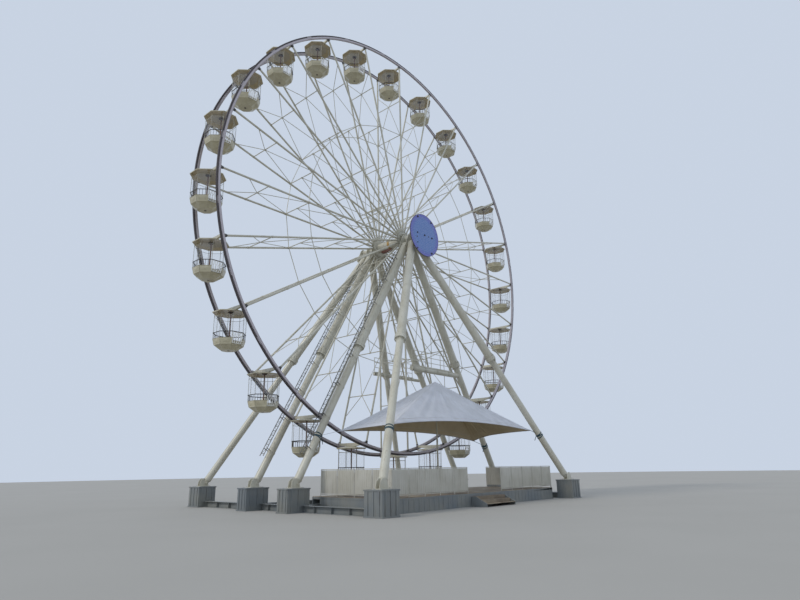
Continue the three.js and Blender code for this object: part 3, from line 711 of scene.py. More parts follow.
def screen_form(bm):
    """A clear sheet in each side but the gate's."""
    margin = SCREEN_MARGIN
    for i in CLOSED_SIDES:
        low = [corner(RAIL_HALF + RAIL_TUBE, MID_RAIL + margin, i + k) for k in (0, 1)]
        high = [corner(RAIL_HALF + RAIL_TUBE, TOP_RAIL - margin, i + k) for k in (0, 1)]
        out = ((low[0] + low[1]) * Vector((1, 1, 0))).normalized() * SCREEN_THICK
        inner = [between(*low, margin), between(*low, 1 - margin), between(*high, 1 - margin),
                 between(*high, margin)]
        quad = [bm.verts.new(p) for p in inner]
        back = [bm.verts.new(p + out) for p in inner]
        bm.faces.new(quad)
        bm.faces.new(back[::-1])
        for k in range(4):
            bm.faces.new((quad[k], back[k], back[(k + 1) % 4], quad[(k + 1) % 4]))


cabin_screens = formed("cabin_screens", screen_form, CLEAR)
print("screens", len(CLOSED_SIDES))

# %% [markdown]
# The hanger is a box beam over the roof, deepest in the middle, where it is bolted to the roof and the
# pole. At each end a pin turns in a bearing on the rim, which is what lets the cabin stay level.

# %% Hanger beam
PIN_START, PIN_END = 1.02, RIM_PLANE - RIM_THICK / 2 - HAIRLINE
HANGER_TOP, HANGER_END, HANGER_DEEP = 0.058, -0.06, -0.165
PIN = 0.045
SADDLE = 0.22  # from the middle of the beam to each saddle plate on the roof


def hanger_form(bm):
    outline = [(-PIN_START, HANGER_END), (-0.32, HANGER_DEEP), (0.32, HANGER_DEEP), (PIN_START, HANGER_END),
               (PIN_START, HANGER_TOP), (-PIN_START, HANGER_TOP)]
    plate(bm, outline, 0.12, facing((1, 0, 0)))
    for side in (-1, 1):
        block(bm, (-0.085, side * PIN_START - 0.01, -0.085), (0.085, side * PIN_START + 0.01, 0.085))
        block(bm, (-0.16, side * SADDLE - 0.07, HANGER_DEEP - 0.003), (0.16, side * SADDLE + 0.07, -0.15))


def pin_form(bm):
    """At each end a pin that reaches into the beam, and a shoulder ring on it."""
    for side in (-1, 1):
        turn = facing((0, side, 0))
        collar(bm, (0, PIN), (PIN_START - 0.12, PIN_END), turn, 20)
        collar(bm, (0, PIN + 0.017), (PIN_START, PIN_START + 0.035), turn, 20)


hanger_bolts = []
for side in (-1, 1):
    for x in (-1, 1):
        for dy in (-0.045, 0.045):
            hanger_bolts.append((Vector((x * 0.13, side * SADDLE + dy, -0.15)), (0, 0, 1), 0.012))
        for z in (-0.06, 0.06):
            hanger_bolts.append((Vector((x * 0.06, side * (PIN_START + 0.01), z)), (0, side, 0), 0.01))
cabin_hanger = joined(
    "cabin_hanger", formed("hanger", hanger_form, CREAM, 0.006), formed("pins", pin_form, ZINC, 0.003),
    bolts("hanger_bolts", hanger_bolts))
print("bolts in a hanger", len(hanger_bolts))

# %% [markdown]
# Now the four meshes of the cabin are copied to every axle. The copies keep no link to each other,
# because each rides on its own body and turns against the wheel to stay level.

# %% Twenty-four cabins
CABIN_PARTS = [("shell", cabin_shell, "cabin_cream"), ("frame", cabin_frame, "cream_steel"),
               ("screens", cabin_screens, "cabin_cream"), ("hanger", cabin_hanger, "cream_steel")]
for number, axle in enumerate(AXLES, 1):
    for kind, mesh, slot in CABIN_PARTS:
        copy = mesh.copy()
        copy.transform(Matrix.Translation(axle))
        nodes = [f"cabin_{number:02d}"] if kind == "shell" else []
        placed(f"cabin_{kind}_{number:02d}", copy, f"cabin_body_{number:02d}", slot, *nodes)
print("cabins", len(AXLES))

# %% [markdown]
# ## Rims
# Each rim is a rolled box section. Its outer 90 mm is a dark brown band, and its face carries the
# lamp strip. A third tree sweeps any closed section round a circle, so every one of these is its
# section on the same circle.

# %% The ring tree and the rims
RINGS, given = group_with("section round a circle", {
    "Radius": "Float", "Segments": "Int", "Material": "Material"})
outline = add(RINGS, "GeometryNodeMeshToCurve", {"Mesh": given["Geometry"]})
path = add(RINGS, "GeometryNodeCurvePrimitiveCircle", {
    "Resolution": given["Segments"], "Radius": given["Radius"]})
swept = add(RINGS, "GeometryNodeCurveToMesh", {"Curve": path, "Profile Curve": outline})
finish_group(RINGS, swept, given["Material"])


def ring(name, y, radii, depths, cut, material, segments=288):
    """A rectangle with cut corners between two radii and two depths along the axle, swept round."""
    middle = sum(radii) / 2
    half, (low, high) = (radii[1] - radii[0]) / 2, depths
    points = [(-half + cut, low), (half - cut, low), (half, low + cut), (half, high - cut),
              (half - cut, high), (-half + cut, high), (-half, high - cut), (-half, low + cut)]
    mesh = bpy.data.meshes.new("section")
    mesh.from_pydata([(x, z, 0) for x, z in points], [(i, (i + 1) % 8) for i in range(8)], [])
    made = grown(name, mesh, RINGS, Radius=middle, Segments=segments, Material=material)
    made.transform(Matrix.Translation(HUB + Vector((0, y, 0))) @ Matrix.Rotation(math.radians(90), 4, "X"))
    return shaded(made, turn_out=True)


RIM_INNER, RIM_OUTER = RIM_RADIUS - RIM_DEPTH / 2, RIM_RADIUS + RIM_DEPTH / 2
DARK_BAND_START = RIM_OUTER - 0.09
for side, name in ((-1, "front_rim"), (1, "rear_rim")):
    y, half = side * RIM_PLANE, RIM_THICK / 2
    layers = [
        ring("box", y, (RIM_INNER, DARK_BAND_START), (-half, half), 0.008, LILAC),
        # The outer 90 mm of the rim is dark brown, on its outer side and on both faces.
        ring("rail", y, (DARK_BAND_START, RIM_OUTER), (-half, half), 0.012, DARK_BROWN),
        ring("strip", y + side * half, (RIM_RADIUS - 0.08, RIM_RADIUS), (-0.012, 0.012), 0.006, STRIP)]
    placed(f"{name}_section", joined(name, *layers), "wheel", "rim_paint", name)
    print(name, "from", round(RIM_INNER, 2), "to", round(RIM_OUTER, 2), "m")

# %% [markdown]
# At each spoke a dark fork is welded inside the rim and takes the spoke's end, and beside it a bearing
# on the rim's inner face holds the cabin's pin. Half way between spokes the rim's segments meet in a
# bolted splice.

# %% Rim forks, pin bearings and splices
def at_rim(side, radius, angle, y):
    """A turn that faces away from the wheel along the axle, with its Y away from the hub."""
    return facing((0, side, 0), on_wheel(radius, angle, side * y), outward(angle))


def fork_form(side):
    """A plate and a sleeve at each spoke, inside the rim."""
    def build(bm):
        for angle in SPOKE_ANGLES:
            turn = at_rim(side, RIM_INNER, angle, RIM_PLANE)
            plate(bm, [(-0.12, 0.02), (0.12, 0.02), (0.075, -0.14), (-0.075, -0.14)], 0.03, turn)
            turn = facing(outward(angle), on_wheel(RIM_INNER, angle, side * RIM_PLANE))
            turned(bm, [(0.06, -0.15), (0.078, -0.14), (0.078, -0.01), (0.06, -0.01)], turn, 16)
    return build


def rim_plate_form(side):
    """A pin bearing on its plate for each cabin, and a splice plate half way to the next spoke."""
    def build(bm):
        for angle in SPOKE_ANGLES:
            face = on_wheel(AXLE_CIRCLE, angle + PIN_LEAD, side * (RIM_PLANE - RIM_THICK / 2))
            pin = facing((0, -side, 0), face, outward(angle + PIN_LEAD))
            turned(bm, [(0.052, 0), (0.105, 0), (0.1, 0.05), (0.052, 0.05)], pin, 20)
            plate(bm, [(-0.12, -0.08), (0.12, -0.08), (0.12, 0.16), (-0.12, 0.16)], 0.024, pin)
            splice = at_rim(side, RIM_RADIUS, angle + STEP / 2, RIM_PLANE + RIM_THICK / 2)
            plate(bm, [(-0.2, -0.1), (0.2, -0.1), (0.2, 0.09), (-0.2, 0.09)], 0.016, splice)
    return build


def rim_bolts(side):
    """Four bolts in each fork and eight in each splice."""
    places = []
    for angle in SPOKE_ANGLES:
        fork = at_rim(side, RIM_INNER, angle, RIM_PLANE)
        splice = at_rim(side, RIM_RADIUS, angle + STEP / 2, RIM_PLANE + RIM_THICK / 2)
        places += [(fork @ Vector((x, z, 0.012)), (0, side, 0), 0.016)
                   for x in (-0.07, 0.07) for z in (-0.03, -0.1)]
        places += [(splice @ Vector((x, z, 0.009)), (0, side, 0), 0.012)
                   for x in (-0.14, -0.05, 0.05, 0.14) for z in (-0.06, 0.06)]
    return places


for side, word in ((-1, "front"), (1, "rear")):
    mesh = joined(
        "fittings", formed("forks", fork_form(side), CHARCOAL, 0.002),
        formed("plates", rim_plate_form(side), LILAC, 0.002), bolts("bolts", rim_bolts(side), CHARCOAL))
    placed(f"{word}_rim_fittings", mesh, "wheel", "rim_paint")
    print(word, "rim fittings", len(mesh.polygons), "faces")

# %% [markdown]
# ## Spokes
# A spoke is a ladder on its side: two tubes, struts between them, and thin rods that run from the
# middle of each strut to the ends of the next one in. The outermost pair of rods starts lower, so
# that the cabin can turn between the tubes. At the second strut a ring ties all spokes together, and
# clamps on the tubes hold the struts.

# %% Trussed spokes
CHORD, STRUT, ROD, RING_BAR = 0.06, 0.03, 0.021, 0.024
FLANGE, SECTORS = 0.62, 6
STRUT_RADII = [share * RIM_RADIUS for share in (0.782, 0.582, 0.385, 0.19)]
FIRST_ROD, TIE_RING = 0.868 * RIM_RADIUS, STRUT_RADII[1]


def spoke_bars(angle):
    """Struts, rods and the bars of the ring, for one spoke."""
    edge = RIM_PLANE - CHORD
    bars = []
    for side in (-1, 1):
        bars.append((on_wheel(FIRST_ROD, angle, side * edge), on_wheel(STRUT_RADII[0], angle), ROD))
        y = side * (edge - 0.02)
        bars.append((on_wheel(TIE_RING, angle, y), on_wheel(TIE_RING, angle + STEP, y), RING_BAR))
    for outer, inner in zip(STRUT_RADII, STRUT_RADII[1:] + [FLANGE + 0.1]):
        bars.append((on_wheel(outer, angle, -edge), on_wheel(outer, angle, edge), STRUT))
        bars += [(on_wheel(outer, angle), on_wheel(inner, angle, side * edge), ROD) for side in (-1, 1)]
    return bars


def spoke_chords(angle):
    start, end = FLANGE + 0.02, RIM_INNER - HAIRLINE
    return [(on_wheel(start, angle, y), on_wheel(end, angle, y), CHORD) for y in (-RIM_PLANE, RIM_PLANE)]


def clamp_form(angles):
    """Clamps round the chords at each strut, and node plates where rods meet."""
    def build(bm):
        for angle in angles:
            along = outward(angle)
            for radius in STRUT_RADII:
                for side in (-1, 1):
                    turn = facing(along, on_wheel(radius, angle, side * RIM_PLANE), (0, 1, 0))
                    collar(bm, (CHORD, CHORD + 0.013), (-0.05, 0.05), turn, 12)
                turn = facing(along.cross((0, 1, 0)), on_wheel(radius, angle), along)
                plate(bm, [(-0.08, -0.06), (0.08, -0.06), (0.06, 0.05), (-0.06, 0.05)], 0.012, turn)
    return build


for number in range(SECTORS):
    angles = SPOKE_ANGLES[SPOKES * number // SECTORS:SPOKES * (number + 1) // SECTORS]
    mesh = joined(
        "spokes", tubes("chords", [bar for a in angles for bar in spoke_chords(a)], 20, CREAM),
        tubes("bracing", [bar for a in angles for bar in spoke_bars(a)], 8, CREAM),
        formed("clamps", clamp_form(angles), CREAM))
    placed(f"spoke_trusses_{number + 1}", mesh, "wheel", "cream_steel", f"spoke_sector_{number + 1}")
print("spokes", SPOKES, "in", SECTORS, "sectors")

# %% [markdown]
# ## Hub
# The drum is a thick tube with a flange at each end. Every spoke tube ends in a fork that is pinned
# to the flange's edge, an ochre band marks the lifting point in the middle of the drum, and a dark
# brown box under the drum is painted shade, standing where shadow falls under it.

# %% Drum, flanges and forks
DRUM, AXLE, AXLE_END, FLANGE_HALF = 0.34, 0.148, 2.3, 0.065


def hub_form(bm):
    """The axle, two flanges with a grooved edge, and the drum between them."""
    half = FLANGE_HALF
    profile = [(0, -AXLE_END), (AXLE, -AXLE_END), (AXLE, -RIM_PLANE - half)]
    for side in (-1, 1):
        y = side * RIM_PLANE
        profile += [(FLANGE, y - half), (FLANGE, y - 0.02), (FLANGE - 0.05, y - 0.018),
                    (FLANGE - 0.05, y + 0.018), (FLANGE, y + 0.02), (FLANGE, y + half)]
        if side < 0:
            profile += [(DRUM, y + half + 0.001), (DRUM, -y - half - 0.001)]
    profile += [(AXLE, RIM_PLANE + half), (AXLE, AXLE_END), (0, AXLE_END)]
    turned(bm, profile, facing((0, 1, 0), HUB), 72)


def drum_stiffeners(bm):
    """Tapered ribs from the drum to the flanges, at every other spoke."""
    outline = [(0, -0.01), (0, 0.22), (-0.05, 0.22), (-0.4, 0), (-0.4, -0.01)]
    for angle in SPOKE_ANGLES[::2]:
        out = outward(angle)
        for side in (-1, 1):
            foot = on_wheel(DRUM, angle, side * (RIM_PLANE - FLANGE_HALF))
            turn = facing(out.cross((0, 1, 0)), foot, out)
            plate(bm, [(x * side, z) for x, z in outline], 0.02, turn)


def hub_forks(bm):
    """Two cheeks on the flange for each spoke tube."""
    outline = [(-0.05, -0.1), (0.05, -0.1), (0.05, 0.12), (0.0, 0.16), (-0.05, 0.12)]
    for angle in SPOKE_ANGLES:
        for y in (side * RIM_PLANE + cheek for side in (-1, 1) for cheek in (-0.045, 0.045)):
            plate(bm, outline, 0.014, facing((0, 1, 0), on_wheel(FLANGE, angle, y), outward(angle)))


def drum_band(bm):
    profile = [(DRUM, -0.09), (DRUM + 0.02, -0.085), (DRUM + 0.02, 0.085), (DRUM, 0.09)]
    turned(bm, profile, facing((0, 1, 0), HUB), 72)


# A brown box that is painted shade where shadow falls under the drum.
def drum_shade_box(bm):
    block(bm, (-0.13, -0.12, -DRUM - 0.13), (0.13, 0.86, -DRUM + 0.03), Matrix.Translation(HUB))


fork_pins = [(on_wheel(FLANGE + 0.06, angle, side * RIM_PLANE + way * 0.056), (0, way, 0), 0.018)
             for angle in SPOKE_ANGLES for side in (-1, 1) for way in (-1, 1)]
hub = joined(
    "hub", formed("drum", hub_form, CREAM, 0.004), formed("stiffeners", drum_stiffeners, CREAM, 0.002),
    formed("forks", hub_forks, CREAM, 0.002), formed("band", drum_band, OCHRE, 0.003),
    formed("drum_shade_box", drum_shade_box, DRUM_SHADE_BROWN, 0.01), bolts("fork_pins", fork_pins))
placed("hub_and_forks", hub, "wheel", "cream_steel", "hub_drum")
print("hub", len(hub.polygons), "faces,", len(fork_pins), "fork pins")

# %% [markdown]
# ## Legs
# A leg is two lengths of tube, wide above and narrow below, joined at a bolted flange so that it
# folds for the road. The axis is read from the two ends of the solid leg. Ribs and bolts stand round
# the flange, a weld seam shows every few metres, and a hinged shoe carries the foot.

# %% Leg tubes, flanges and shoes
LEG_UPPER, LEG_LOWER, LEG_FLANGE = 0.27, 0.215, 0.345
JOINT_HEIGHT, JOINT_HALF, NECK = 9.4, 0.13, 0.45
SHOE_TOP, WELD, IN_HEAD = 0.45, 0.004, 0.28


def leg_line(node):
    """The foot, head and direction of a leg, from the middles of the solid's two ends."""
    points = [v.co for v in frame["nodes"][node].data.vertices]
    ends = []
    for level in (min(p.z for p in points), max(p.z for p in points)):
        near = [p for p in points if abs(p.z - level) < 0.002]
        x, y = ((min(p[k] for p in near) + max(p[k] for p in near)) / 2 for k in (0, 1))
        ends.append(Vector((x, y, level)))
    return ends[0], ends[1], (ends[1] - ends[0]).normalized()


def leg_tube_form(turn, joint, reach):
    """The tube's outline from the shoe to the head, with the flange pair and two weld seams."""
    rows = [(0, SHOE_TOP), (LEG_LOWER, SHOE_TOP), (LEG_LOWER, joint - NECK),
            (LEG_LOWER + 0.005, joint - JOINT_HALF), (LEG_FLANGE, joint - JOINT_HALF),
            (LEG_FLANGE, joint - 0.006), (LEG_FLANGE - 0.03, joint - 0.005),
            (LEG_FLANGE - 0.03, joint + 0.005), (LEG_FLANGE, joint + 0.006),
            (LEG_FLANGE, joint + JOINT_HALF), (LEG_UPPER + WELD, joint + JOINT_HALF)]
    for seam in (joint + 2.6, joint + 5.2):
        rows += [(LEG_UPPER, seam - 0.03), (LEG_UPPER + WELD, seam), (LEG_UPPER, seam + 0.03)]
    rows += [(LEG_UPPER, reach - 0.3), (LEG_UPPER, reach + IN_HEAD), (0, reach + IN_HEAD)]
    return lambda bm: turned(bm, rows, turn, 40)


def leg_rib_form(turn, joint):
    """Eight tapered ribs above the joint and eight below it."""
    def build(bm):
        for i in range(8):
            side = turn @ Matrix.Rotation(math.radians(45 * i + 22.5), 4, "Z") @ facing((0, 1, 0))
            for sign, radius in ((-1, LEG_LOWER), (1, LEG_UPPER)):
                base, tip = joint + sign * JOINT_HALF, joint + sign * (JOINT_HALF + 0.22)
                outline = [(-radius + 0.01, base), (-LEG_FLANGE + 0.02, base), (-radius - 0.01, tip),
                           (-radius + 0.01, tip)]
                plate(bm, outline, 0.014, side)
    return build


def shoe_form(foot, along):
    """Two cheeks on a base plate, a pin through them, and the tapered end of the tube."""
    def build(bm):
        outline = [(-0.3, 0.0), (0.3, 0.0), (0.24, 0.34), (0.1, 0.48), (-0.1, 0.48), (-0.24, 0.34)]
        for cheek in (-0.13, 0.13):
            plate(bm, outline, 0.03, facing((0, 1, 0), foot + Vector((0, cheek, 0))))
        block(bm, foot + Vector((-0.36, -0.3, 0)), foot + Vector((0.36, 0.3, 0.035)))
        turned(bm, [(0, 0.0), (0.09, 0.0), (0.1, 0.1), (LEG_LOWER, 0.34), (LEG_LOWER + 0.012, 0.36),
                    (LEG_LOWER + 0.012, 0.42), (0, 0.42)], facing(along, foot + along * 0.12), 24)
        collar(bm, (0, 0.05), (-0.19, 0.19), facing((0, 1, 0), foot + along * 0.24), 20)
    return build


# %% Eight legs
LEGS = [f"{kind}_{end}_{side}" for kind in ("leg", "outrigger") for end in ("front", "rear")
        for side in ("left", "right")]
for node in LEGS:
    foot, head, along = leg_line(node)
    turn, reach, joint = facing(along, foot), (head - foot).length, (JOINT_HEIGHT - foot.z) / along.z
    spins = [turn @ Matrix.Rotation(math.radians(22.5 * i + 11.25), 4, "Z") for i in range(16)]
    heads = [(spin @ Vector((LEG_FLANGE - 0.045, 0, joint + sign * JOINT_HALF)), along * sign, 0.018)
             for spin in spins for sign in (-1, 1)]
    heads += [(foot + Vector((x, y, 0.035)), (0, 0, 1), 0.022) for x in (-0.3, 0.3) for y in (-0.24, 0.24)]
    mesh = joined(
        node, formed("tube", leg_tube_form(turn, joint, reach), CREAM),
        formed("ribs", leg_rib_form(turn, joint), CREAM, 0.002),
        formed("shoe", shoe_form(foot, along), CREAM, 0.004), bolts("leg_bolts", heads))
    placed(f"{node}_tube", mesh, "support", "cream_steel", node)
print("legs", len(LEGS))

# %% [markdown]
# ## Bearing heads
# Four legs run up into a fabricated head that holds the axle's bearing. It is three thick cheek
# plates with a leg in each bay between them, and a round housing through all three. A dark cap with
# a ring of bolts closes the housing.

# %% Heads, housings and caps
XZ_PLANE = Matrix(((1, 0, 0, 0), (0, 0, 1, 0), (0, 1, 0, 0), (0, 0, 0, 1)))
BORE, HOUSING, CAP, COLLAR, CAP_RIM, BOLT_CIRCLE = 0.165, 0.25, 0.26, 0.29, 0.05, 0.225
CHEEK, MIDDLE_CHEEK = 0.06, 2.06


def cap_form(side, inner, outer):
    """The cap outside the head, and a collar round the axle inside it."""
    def build(bm):
        turned(bm, [(0, 0), (CAP, 0), (CAP, CAP_RIM), (0.2, 0.09), (0, 0.09)],
               facing((0, side, 0), (HUB.x, outer, HUB.z)), 40)
        turned(bm, [(BORE, 0), (COLLAR, 0), (COLLAR - 0.02, CAP_RIM), (BORE, CAP_RIM)],
               facing((0, -side, 0), (HUB.x, inner, HUB.z)), 40)
    return build


def head_form(side, inner, outer, low):
    """The cheek plates and the housing."""
    shoulder, crown = HUB.z + 0.1, HUB.z + 0.27
    outline = [(-0.81, low), (0.81, low), (0.4, shoulder), (0.24, crown), (-0.24, crown), (-0.4, shoulder)]
    depth = abs(outer - inner)

    def build(bm):
        for y in (inner + side * CHEEK / 2, side * MIDDLE_CHEEK, outer - side * CHEEK / 2):
            plate(bm, outline, CHEEK, Matrix.Translation((0, y, 0)) @ XZ_PLANE)
        collar(bm, (BORE, HOUSING), (0, depth), facing((0, side, 0), (HUB.x, inner, HUB.z)), 40)
    return build


for node, side in (("front_bearing_head", -1), ("rear_bearing_head", 1)):
    low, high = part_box(node)
    inner, outer = sorted((low.y, high.y), key=abs)
    cap_bolts = []
    for a in (math.radians(30 * i + 15) for i in range(12)):
        x, z = BOLT_CIRCLE * math.cos(a), HUB.z + BOLT_CIRCLE * math.sin(a)
        cap_bolts.append((Vector((x, outer + side * CAP_RIM, z)), (0, side, 0), 0.016))
    cap_bolts += [(Vector((sign * x, outer, low.z + rise)), (0, side, 0), 0.02)
                  for sign in (-1, 1) for x, rise in ((0.66, 0.1), (0.55, 0.32), (0.44, 0.54), (0.3, 0.1))]
    mesh = joined("cap", formed("cap", cap_form(side, inner, outer), CHARCOAL, 0.004),
                  formed("cheeks", head_form(side, inner, outer, low.z), CREAM, 0.004),
                  bolts("cap_bolts", cap_bolts))
    placed(f"{node}_fittings", mesh, "support", "cream_steel", node)
    print(f"{node}: {abs(outer - inner):.2f} m through, {len(cap_bolts)} bolts")

# %% [markdown]
# ## The round board
# The board is a disc of lamp panels on three arms, in a dark tray. Eight wedges meet a centre panel
# with hairline joints, a dark ring closes the edge, and a few dark fixings show on the face.

# %% Board
TRAY_FRONT, TRAY_BACK, CENTRE_PANEL = 0.012, 0.09, 0.5
ARM, ARM_CIRCLE = 0.055, 0.27


def on_board(radius, angle, depth=0.0):
    """A point on the board, its angle counted from +X, at a depth behind the face."""
    turn = math.radians(angle)
    return BOARD_FRONT + Vector((radius * math.cos(turn), depth, radius * math.sin(turn)))


def tray_form(bm):
    """The tray behind the panels, and three arms from it to the bearing head."""
    dish = [(0, TRAY_FRONT), (BOARD_RADIUS, TRAY_FRONT), (BOARD_RADIUS, 0.05),
            (BOARD_RADIUS - 0.05, TRAY_BACK), (0, TRAY_BACK)]
    turned(bm, dish, facing((0, 1, 0), BOARD_FRONT), 96)
    start, end = TRAY_BACK - 0.005, BOARD_DEPTH - HAIRLINE
    for angle in (90, 210, 330):
        collar(bm, (0, ARM), (start, end), facing((0, 1, 0), on_board(ARM_CIRCLE, angle)), 16)


def panel_form(bm):
    """Eight wedges with a gap of 3 mm between them, and the centre panel."""
    turn = facing((0, -1, 0), BOARD_FRONT + Vector((0, TRAY_FRONT, 0)))
    for i in range(8):
        outline = []
        for radius, order in ((BOARD_RADIUS - 0.022, 1), (CENTRE_PANEL, -1)):
            slack = math.degrees(0.0015 / radius)
            angles = [math.radians(45 * i + slack + (45 - 2 * slack) * k / 8) for k in range(9)]
            outline += [(radius * math.cos(a), radius * math.sin(a)) for a in angles[::order]]
        plate(bm, outline, 0.016, turn)
    collar(bm, (0, CENTRE_PANEL - 0.002), (-0.008, 0.008), turn, 48)


def edge_form(bm):
    collar(bm, (BOARD_RADIUS - 0.02, BOARD_RADIUS), (0, 0.03), facing((0, 1, 0), BOARD_FRONT), 96)


# Each fixing is a share of the board's radius, an angle and a half width.
FIXINGS = [(0.91, 57, 0.06), (0.91, 120, 0.06), (0.93, 235, 0.05), (0.9, 302, 0.06), (0.0, 0, 0.055),
           (0.5, 180, 0.05), (0.52, 0, 0.055), (0.28, 0, 0.03), (0.57, 201, 0.035), (0.69, 223, 0.035)]
fixings = [(on_board(share * BOARD_RADIUS, angle, 0.004), (0, -1, 0), half)
           for share, angle, half in FIXINGS]
board = joined(
    "board", formed("tray", tray_form, CHARCOAL, 0.003), formed("panels", panel_form, BOARD_FACE),
    formed("edge", edge_form, CHARCOAL, 0.004), bolts("fixings", fixings, CHARCOAL))
placed("round_board", board, "support", "board_face", "front_board")
print(f"board {2 * BOARD_RADIUS:.2f} m across")

# %% [markdown]
# ## Ladders
# A ladder runs up the outer side of each left leg, held by brackets on clamps round the tube. The
# brackets' charcoal is painted shade in the gap between ladder and leg.
# Rungs are 0.3 m apart on the real one, and a thin lacing between the rails stiffens it, so both are
# made here in full.

# %% Ladders on the left legs
STAND, LADDER_HALF, LADDER_END = 0.48, 0.16, 0.24
RUNG_PITCH, CLAMP_PITCH, FIRST_CLAMP = 0.3, 2.1, 0.5
STILE, RUNG, LACING, BRACKET = 0.024, 0.015, 0.009, 0.02


def ladder_piece(node, leg):
    """A ladder along a leg, between the heights of its node's box."""
    foot, _, along = leg_line(leg)
    out = Vector((-along.z, 0, along.x)).normalized()
    low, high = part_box(node)
    start, end = (low.z - foot.z + LADDER_END) / along.z, (high.z - foot.z - LADDER_END) / along.z
    rungs = int((end - start) / RUNG_PITCH)

    def at(distance, side, lift=STAND):
        """A place on the ladder: its distance up the leg, its side and its lift off the axis."""
        return foot + along * distance + out * lift + Vector((0, side * LADDER_HALF, 0))

    bars = [(at(start, side), at(end, side), STILE) for side in (-1, 1)]
    for i in range(rungs):
        place = start + RUNG_PITCH * (i + 0.5)
        bars.append((at(place, -1), at(place, 1), RUNG))
        bars.append((at(place, (-1) ** i), at(place + RUNG_PITCH, -(-1) ** i), LACING))
    clamps = []
    brackets = []
    for k in range(int((end - start) / CLAMP_PITCH) + 1):
        place = start + FIRST_CLAMP + CLAMP_PITCH * k
        radius = LEG_LOWER if foot.z + along.z * place < JOINT_HEIGHT else LEG_UPPER
        clamps.append((foot + along * place, radius))
        brackets += [(at(place, side), at(place, side * 0.8, radius * 0.85), BRACKET) for side in (-1, 1)]

    def leg_clamps(bm):
        for centre, radius in clamps:
            collar(bm, (radius, radius + 0.018), (-0.04, 0.04), facing(along, centre), 32)

    # The brackets' charcoal is painted shade in the gap between the ladder and the leg.
    mesh = joined(node, tubes("ladder", bars, 8, LADDER_GREY), tubes("brackets", brackets, 8, CHARCOAL),
                  formed("clamps", leg_clamps, CREAM, 0.002))
    placed(f"{node}_rungs", mesh, "support", "dark_steel", node)
    print(f"{node}: {end - start:.1f} m long, {rungs} rungs")


ladder_piece("front_ladder", "leg_front_left")
ladder_piece("rear_ladder", "leg_rear_left")

# %% [markdown]
# ## Walkways
# A walkway is a beam with a narrow grating and a railing, bolted to a right leg at the level of its
# joint, from where the fitters reach the spokes.

# %% Walkways on the right legs
WALK_START, WALK_REACH, WALK_BAYS, GRATING_BARS = 0.05, 4.2, 4, 40
WALK_POST, WALK_RAIL = 0.022, 0.02


def walkway_piece(node):
    """A beam with a railing and a grating, in the box of its node."""
    low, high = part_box(node)
    y, half = (low.y + high.y) / 2, (high.y - low.y) / 2
    level, top, side = low.z + half, high.z - WALK_POST - 0.002, half * 0.8
    deck = level + half
    bay = (WALK_REACH - WALK_START) / WALK_BAYS
    stops = [WALK_START + bay * i for i in range(WALK_BAYS + 1)]
    rails = [(Vector((x, y, level)), Vector((x, y, top)), WALK_POST) for x in stops]
    for z in (between(deck, top, share) for share in (0.35, 0.68, 1.0)):
        rails.append((Vector((WALK_START, y, z)), Vector((WALK_REACH, y, z)), WALK_RAIL))

    def grating_form(bm):
        for x in (WALK_START, 1.3, 2.6, 3.9):
            collar(bm, (half - 0.01, half), (-0.05, 0.05), facing((1, 0, 0), (x, y, level)), 24)
        for i in range(GRATING_BARS):
            x = between(WALK_START, WALK_REACH - WALK_START, i / (GRATING_BARS - 1))
            block(bm, (x - 0.004, y - side, deck - 0.03), (x + 0.004, y + side, deck + 0.012))
        for edge in (y - side, y + side):
            block(bm, (0.03, edge - 0.006, deck - 0.04), (WALK_REACH + 0.02, edge + 0.006, deck + 0.04))

    beam = [(Vector((0, y, level)), Vector((high.x - 0.2, y, level)), half)]
    mesh = joined(node, tubes("beam", beam, 24, CREAM), tubes("rails", rails, 10, CREAM),
                  formed("grating", grating_form, CREAM))
    placed(f"{node}_railing", mesh, "support", "cream_steel", node)
    print(f"{node}: deck {deck:.2f} m up")


walkway_piece("front_walkway")
walkway_piece("rear_walkway")

# %% [markdown]
# ## Ground frame and ballast
# The wheel stands on welded H beams, and on ballast tanks under every foot. The beams are drawn with
# their two flanges and a web, with stiffeners every metre or so, and the tanks with ribs and rims.

# %% Beams and ballast tanks
frame_low, frame_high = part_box("ground_frame")
BEAM, FLANGE_THICK, WEB_THICK, STIFFENER_PITCH = 0.35, 0.022, 0.014, 1.2
FEET = {node: leg_line(node)[0] for node in LEGS}
TANK_TOP, TANK_RIM = FEET[LEGS[0]].z, 0.07
TANK_HALVES = {"leg": (0.75, 0.45), "outrigger": (0.6, 0.6)}


def h_beam(bm, start, end):
    """A beam of H section between two points at half its height."""
    start, end = Vector(start), Vector(end)
    along = (end - start).normalized()
    turn = Matrix((along, Vector((0, 0, 1)).cross(along), (0, 0, 1))).transposed().to_4x4()
    turn.translation = start
    length, half, flange, web = (end - start).length, BEAM / 2, FLANGE_THICK, WEB_THICK
    block(bm, (0, -half, -half), (length, half, -half + flange), turn)
    block(bm, (0, -half, half - flange), (length, half, half), turn)
    block(bm, (0, -web / 2, -half + flange), (length, web / 2, half - flange), turn)
    count = int(length / STIFFENER_PITCH)
    for x in (length * i / count for i in range(1, count)):
        block(bm, (x - 0.006, -half + 0.02, -half + flange), (x + 0.006, half - 0.02, half - flange), turn)


def beams_form(bm):
    for node in ("leg_front_left", "leg_rear_left"):
        y = FEET[node].y
        h_beam(bm, (frame_low.x + 0.02, y, BEAM / 2), (frame_high.x - 0.02, y, BEAM / 2))
    for node in ("outrigger_front_left", "outrigger_front_right"):
        x = FEET[node].x
        h_beam(bm, (x, frame_low.y + 0.02, BEAM / 2), (x, frame_high.y - 0.02, BEAM / 2))


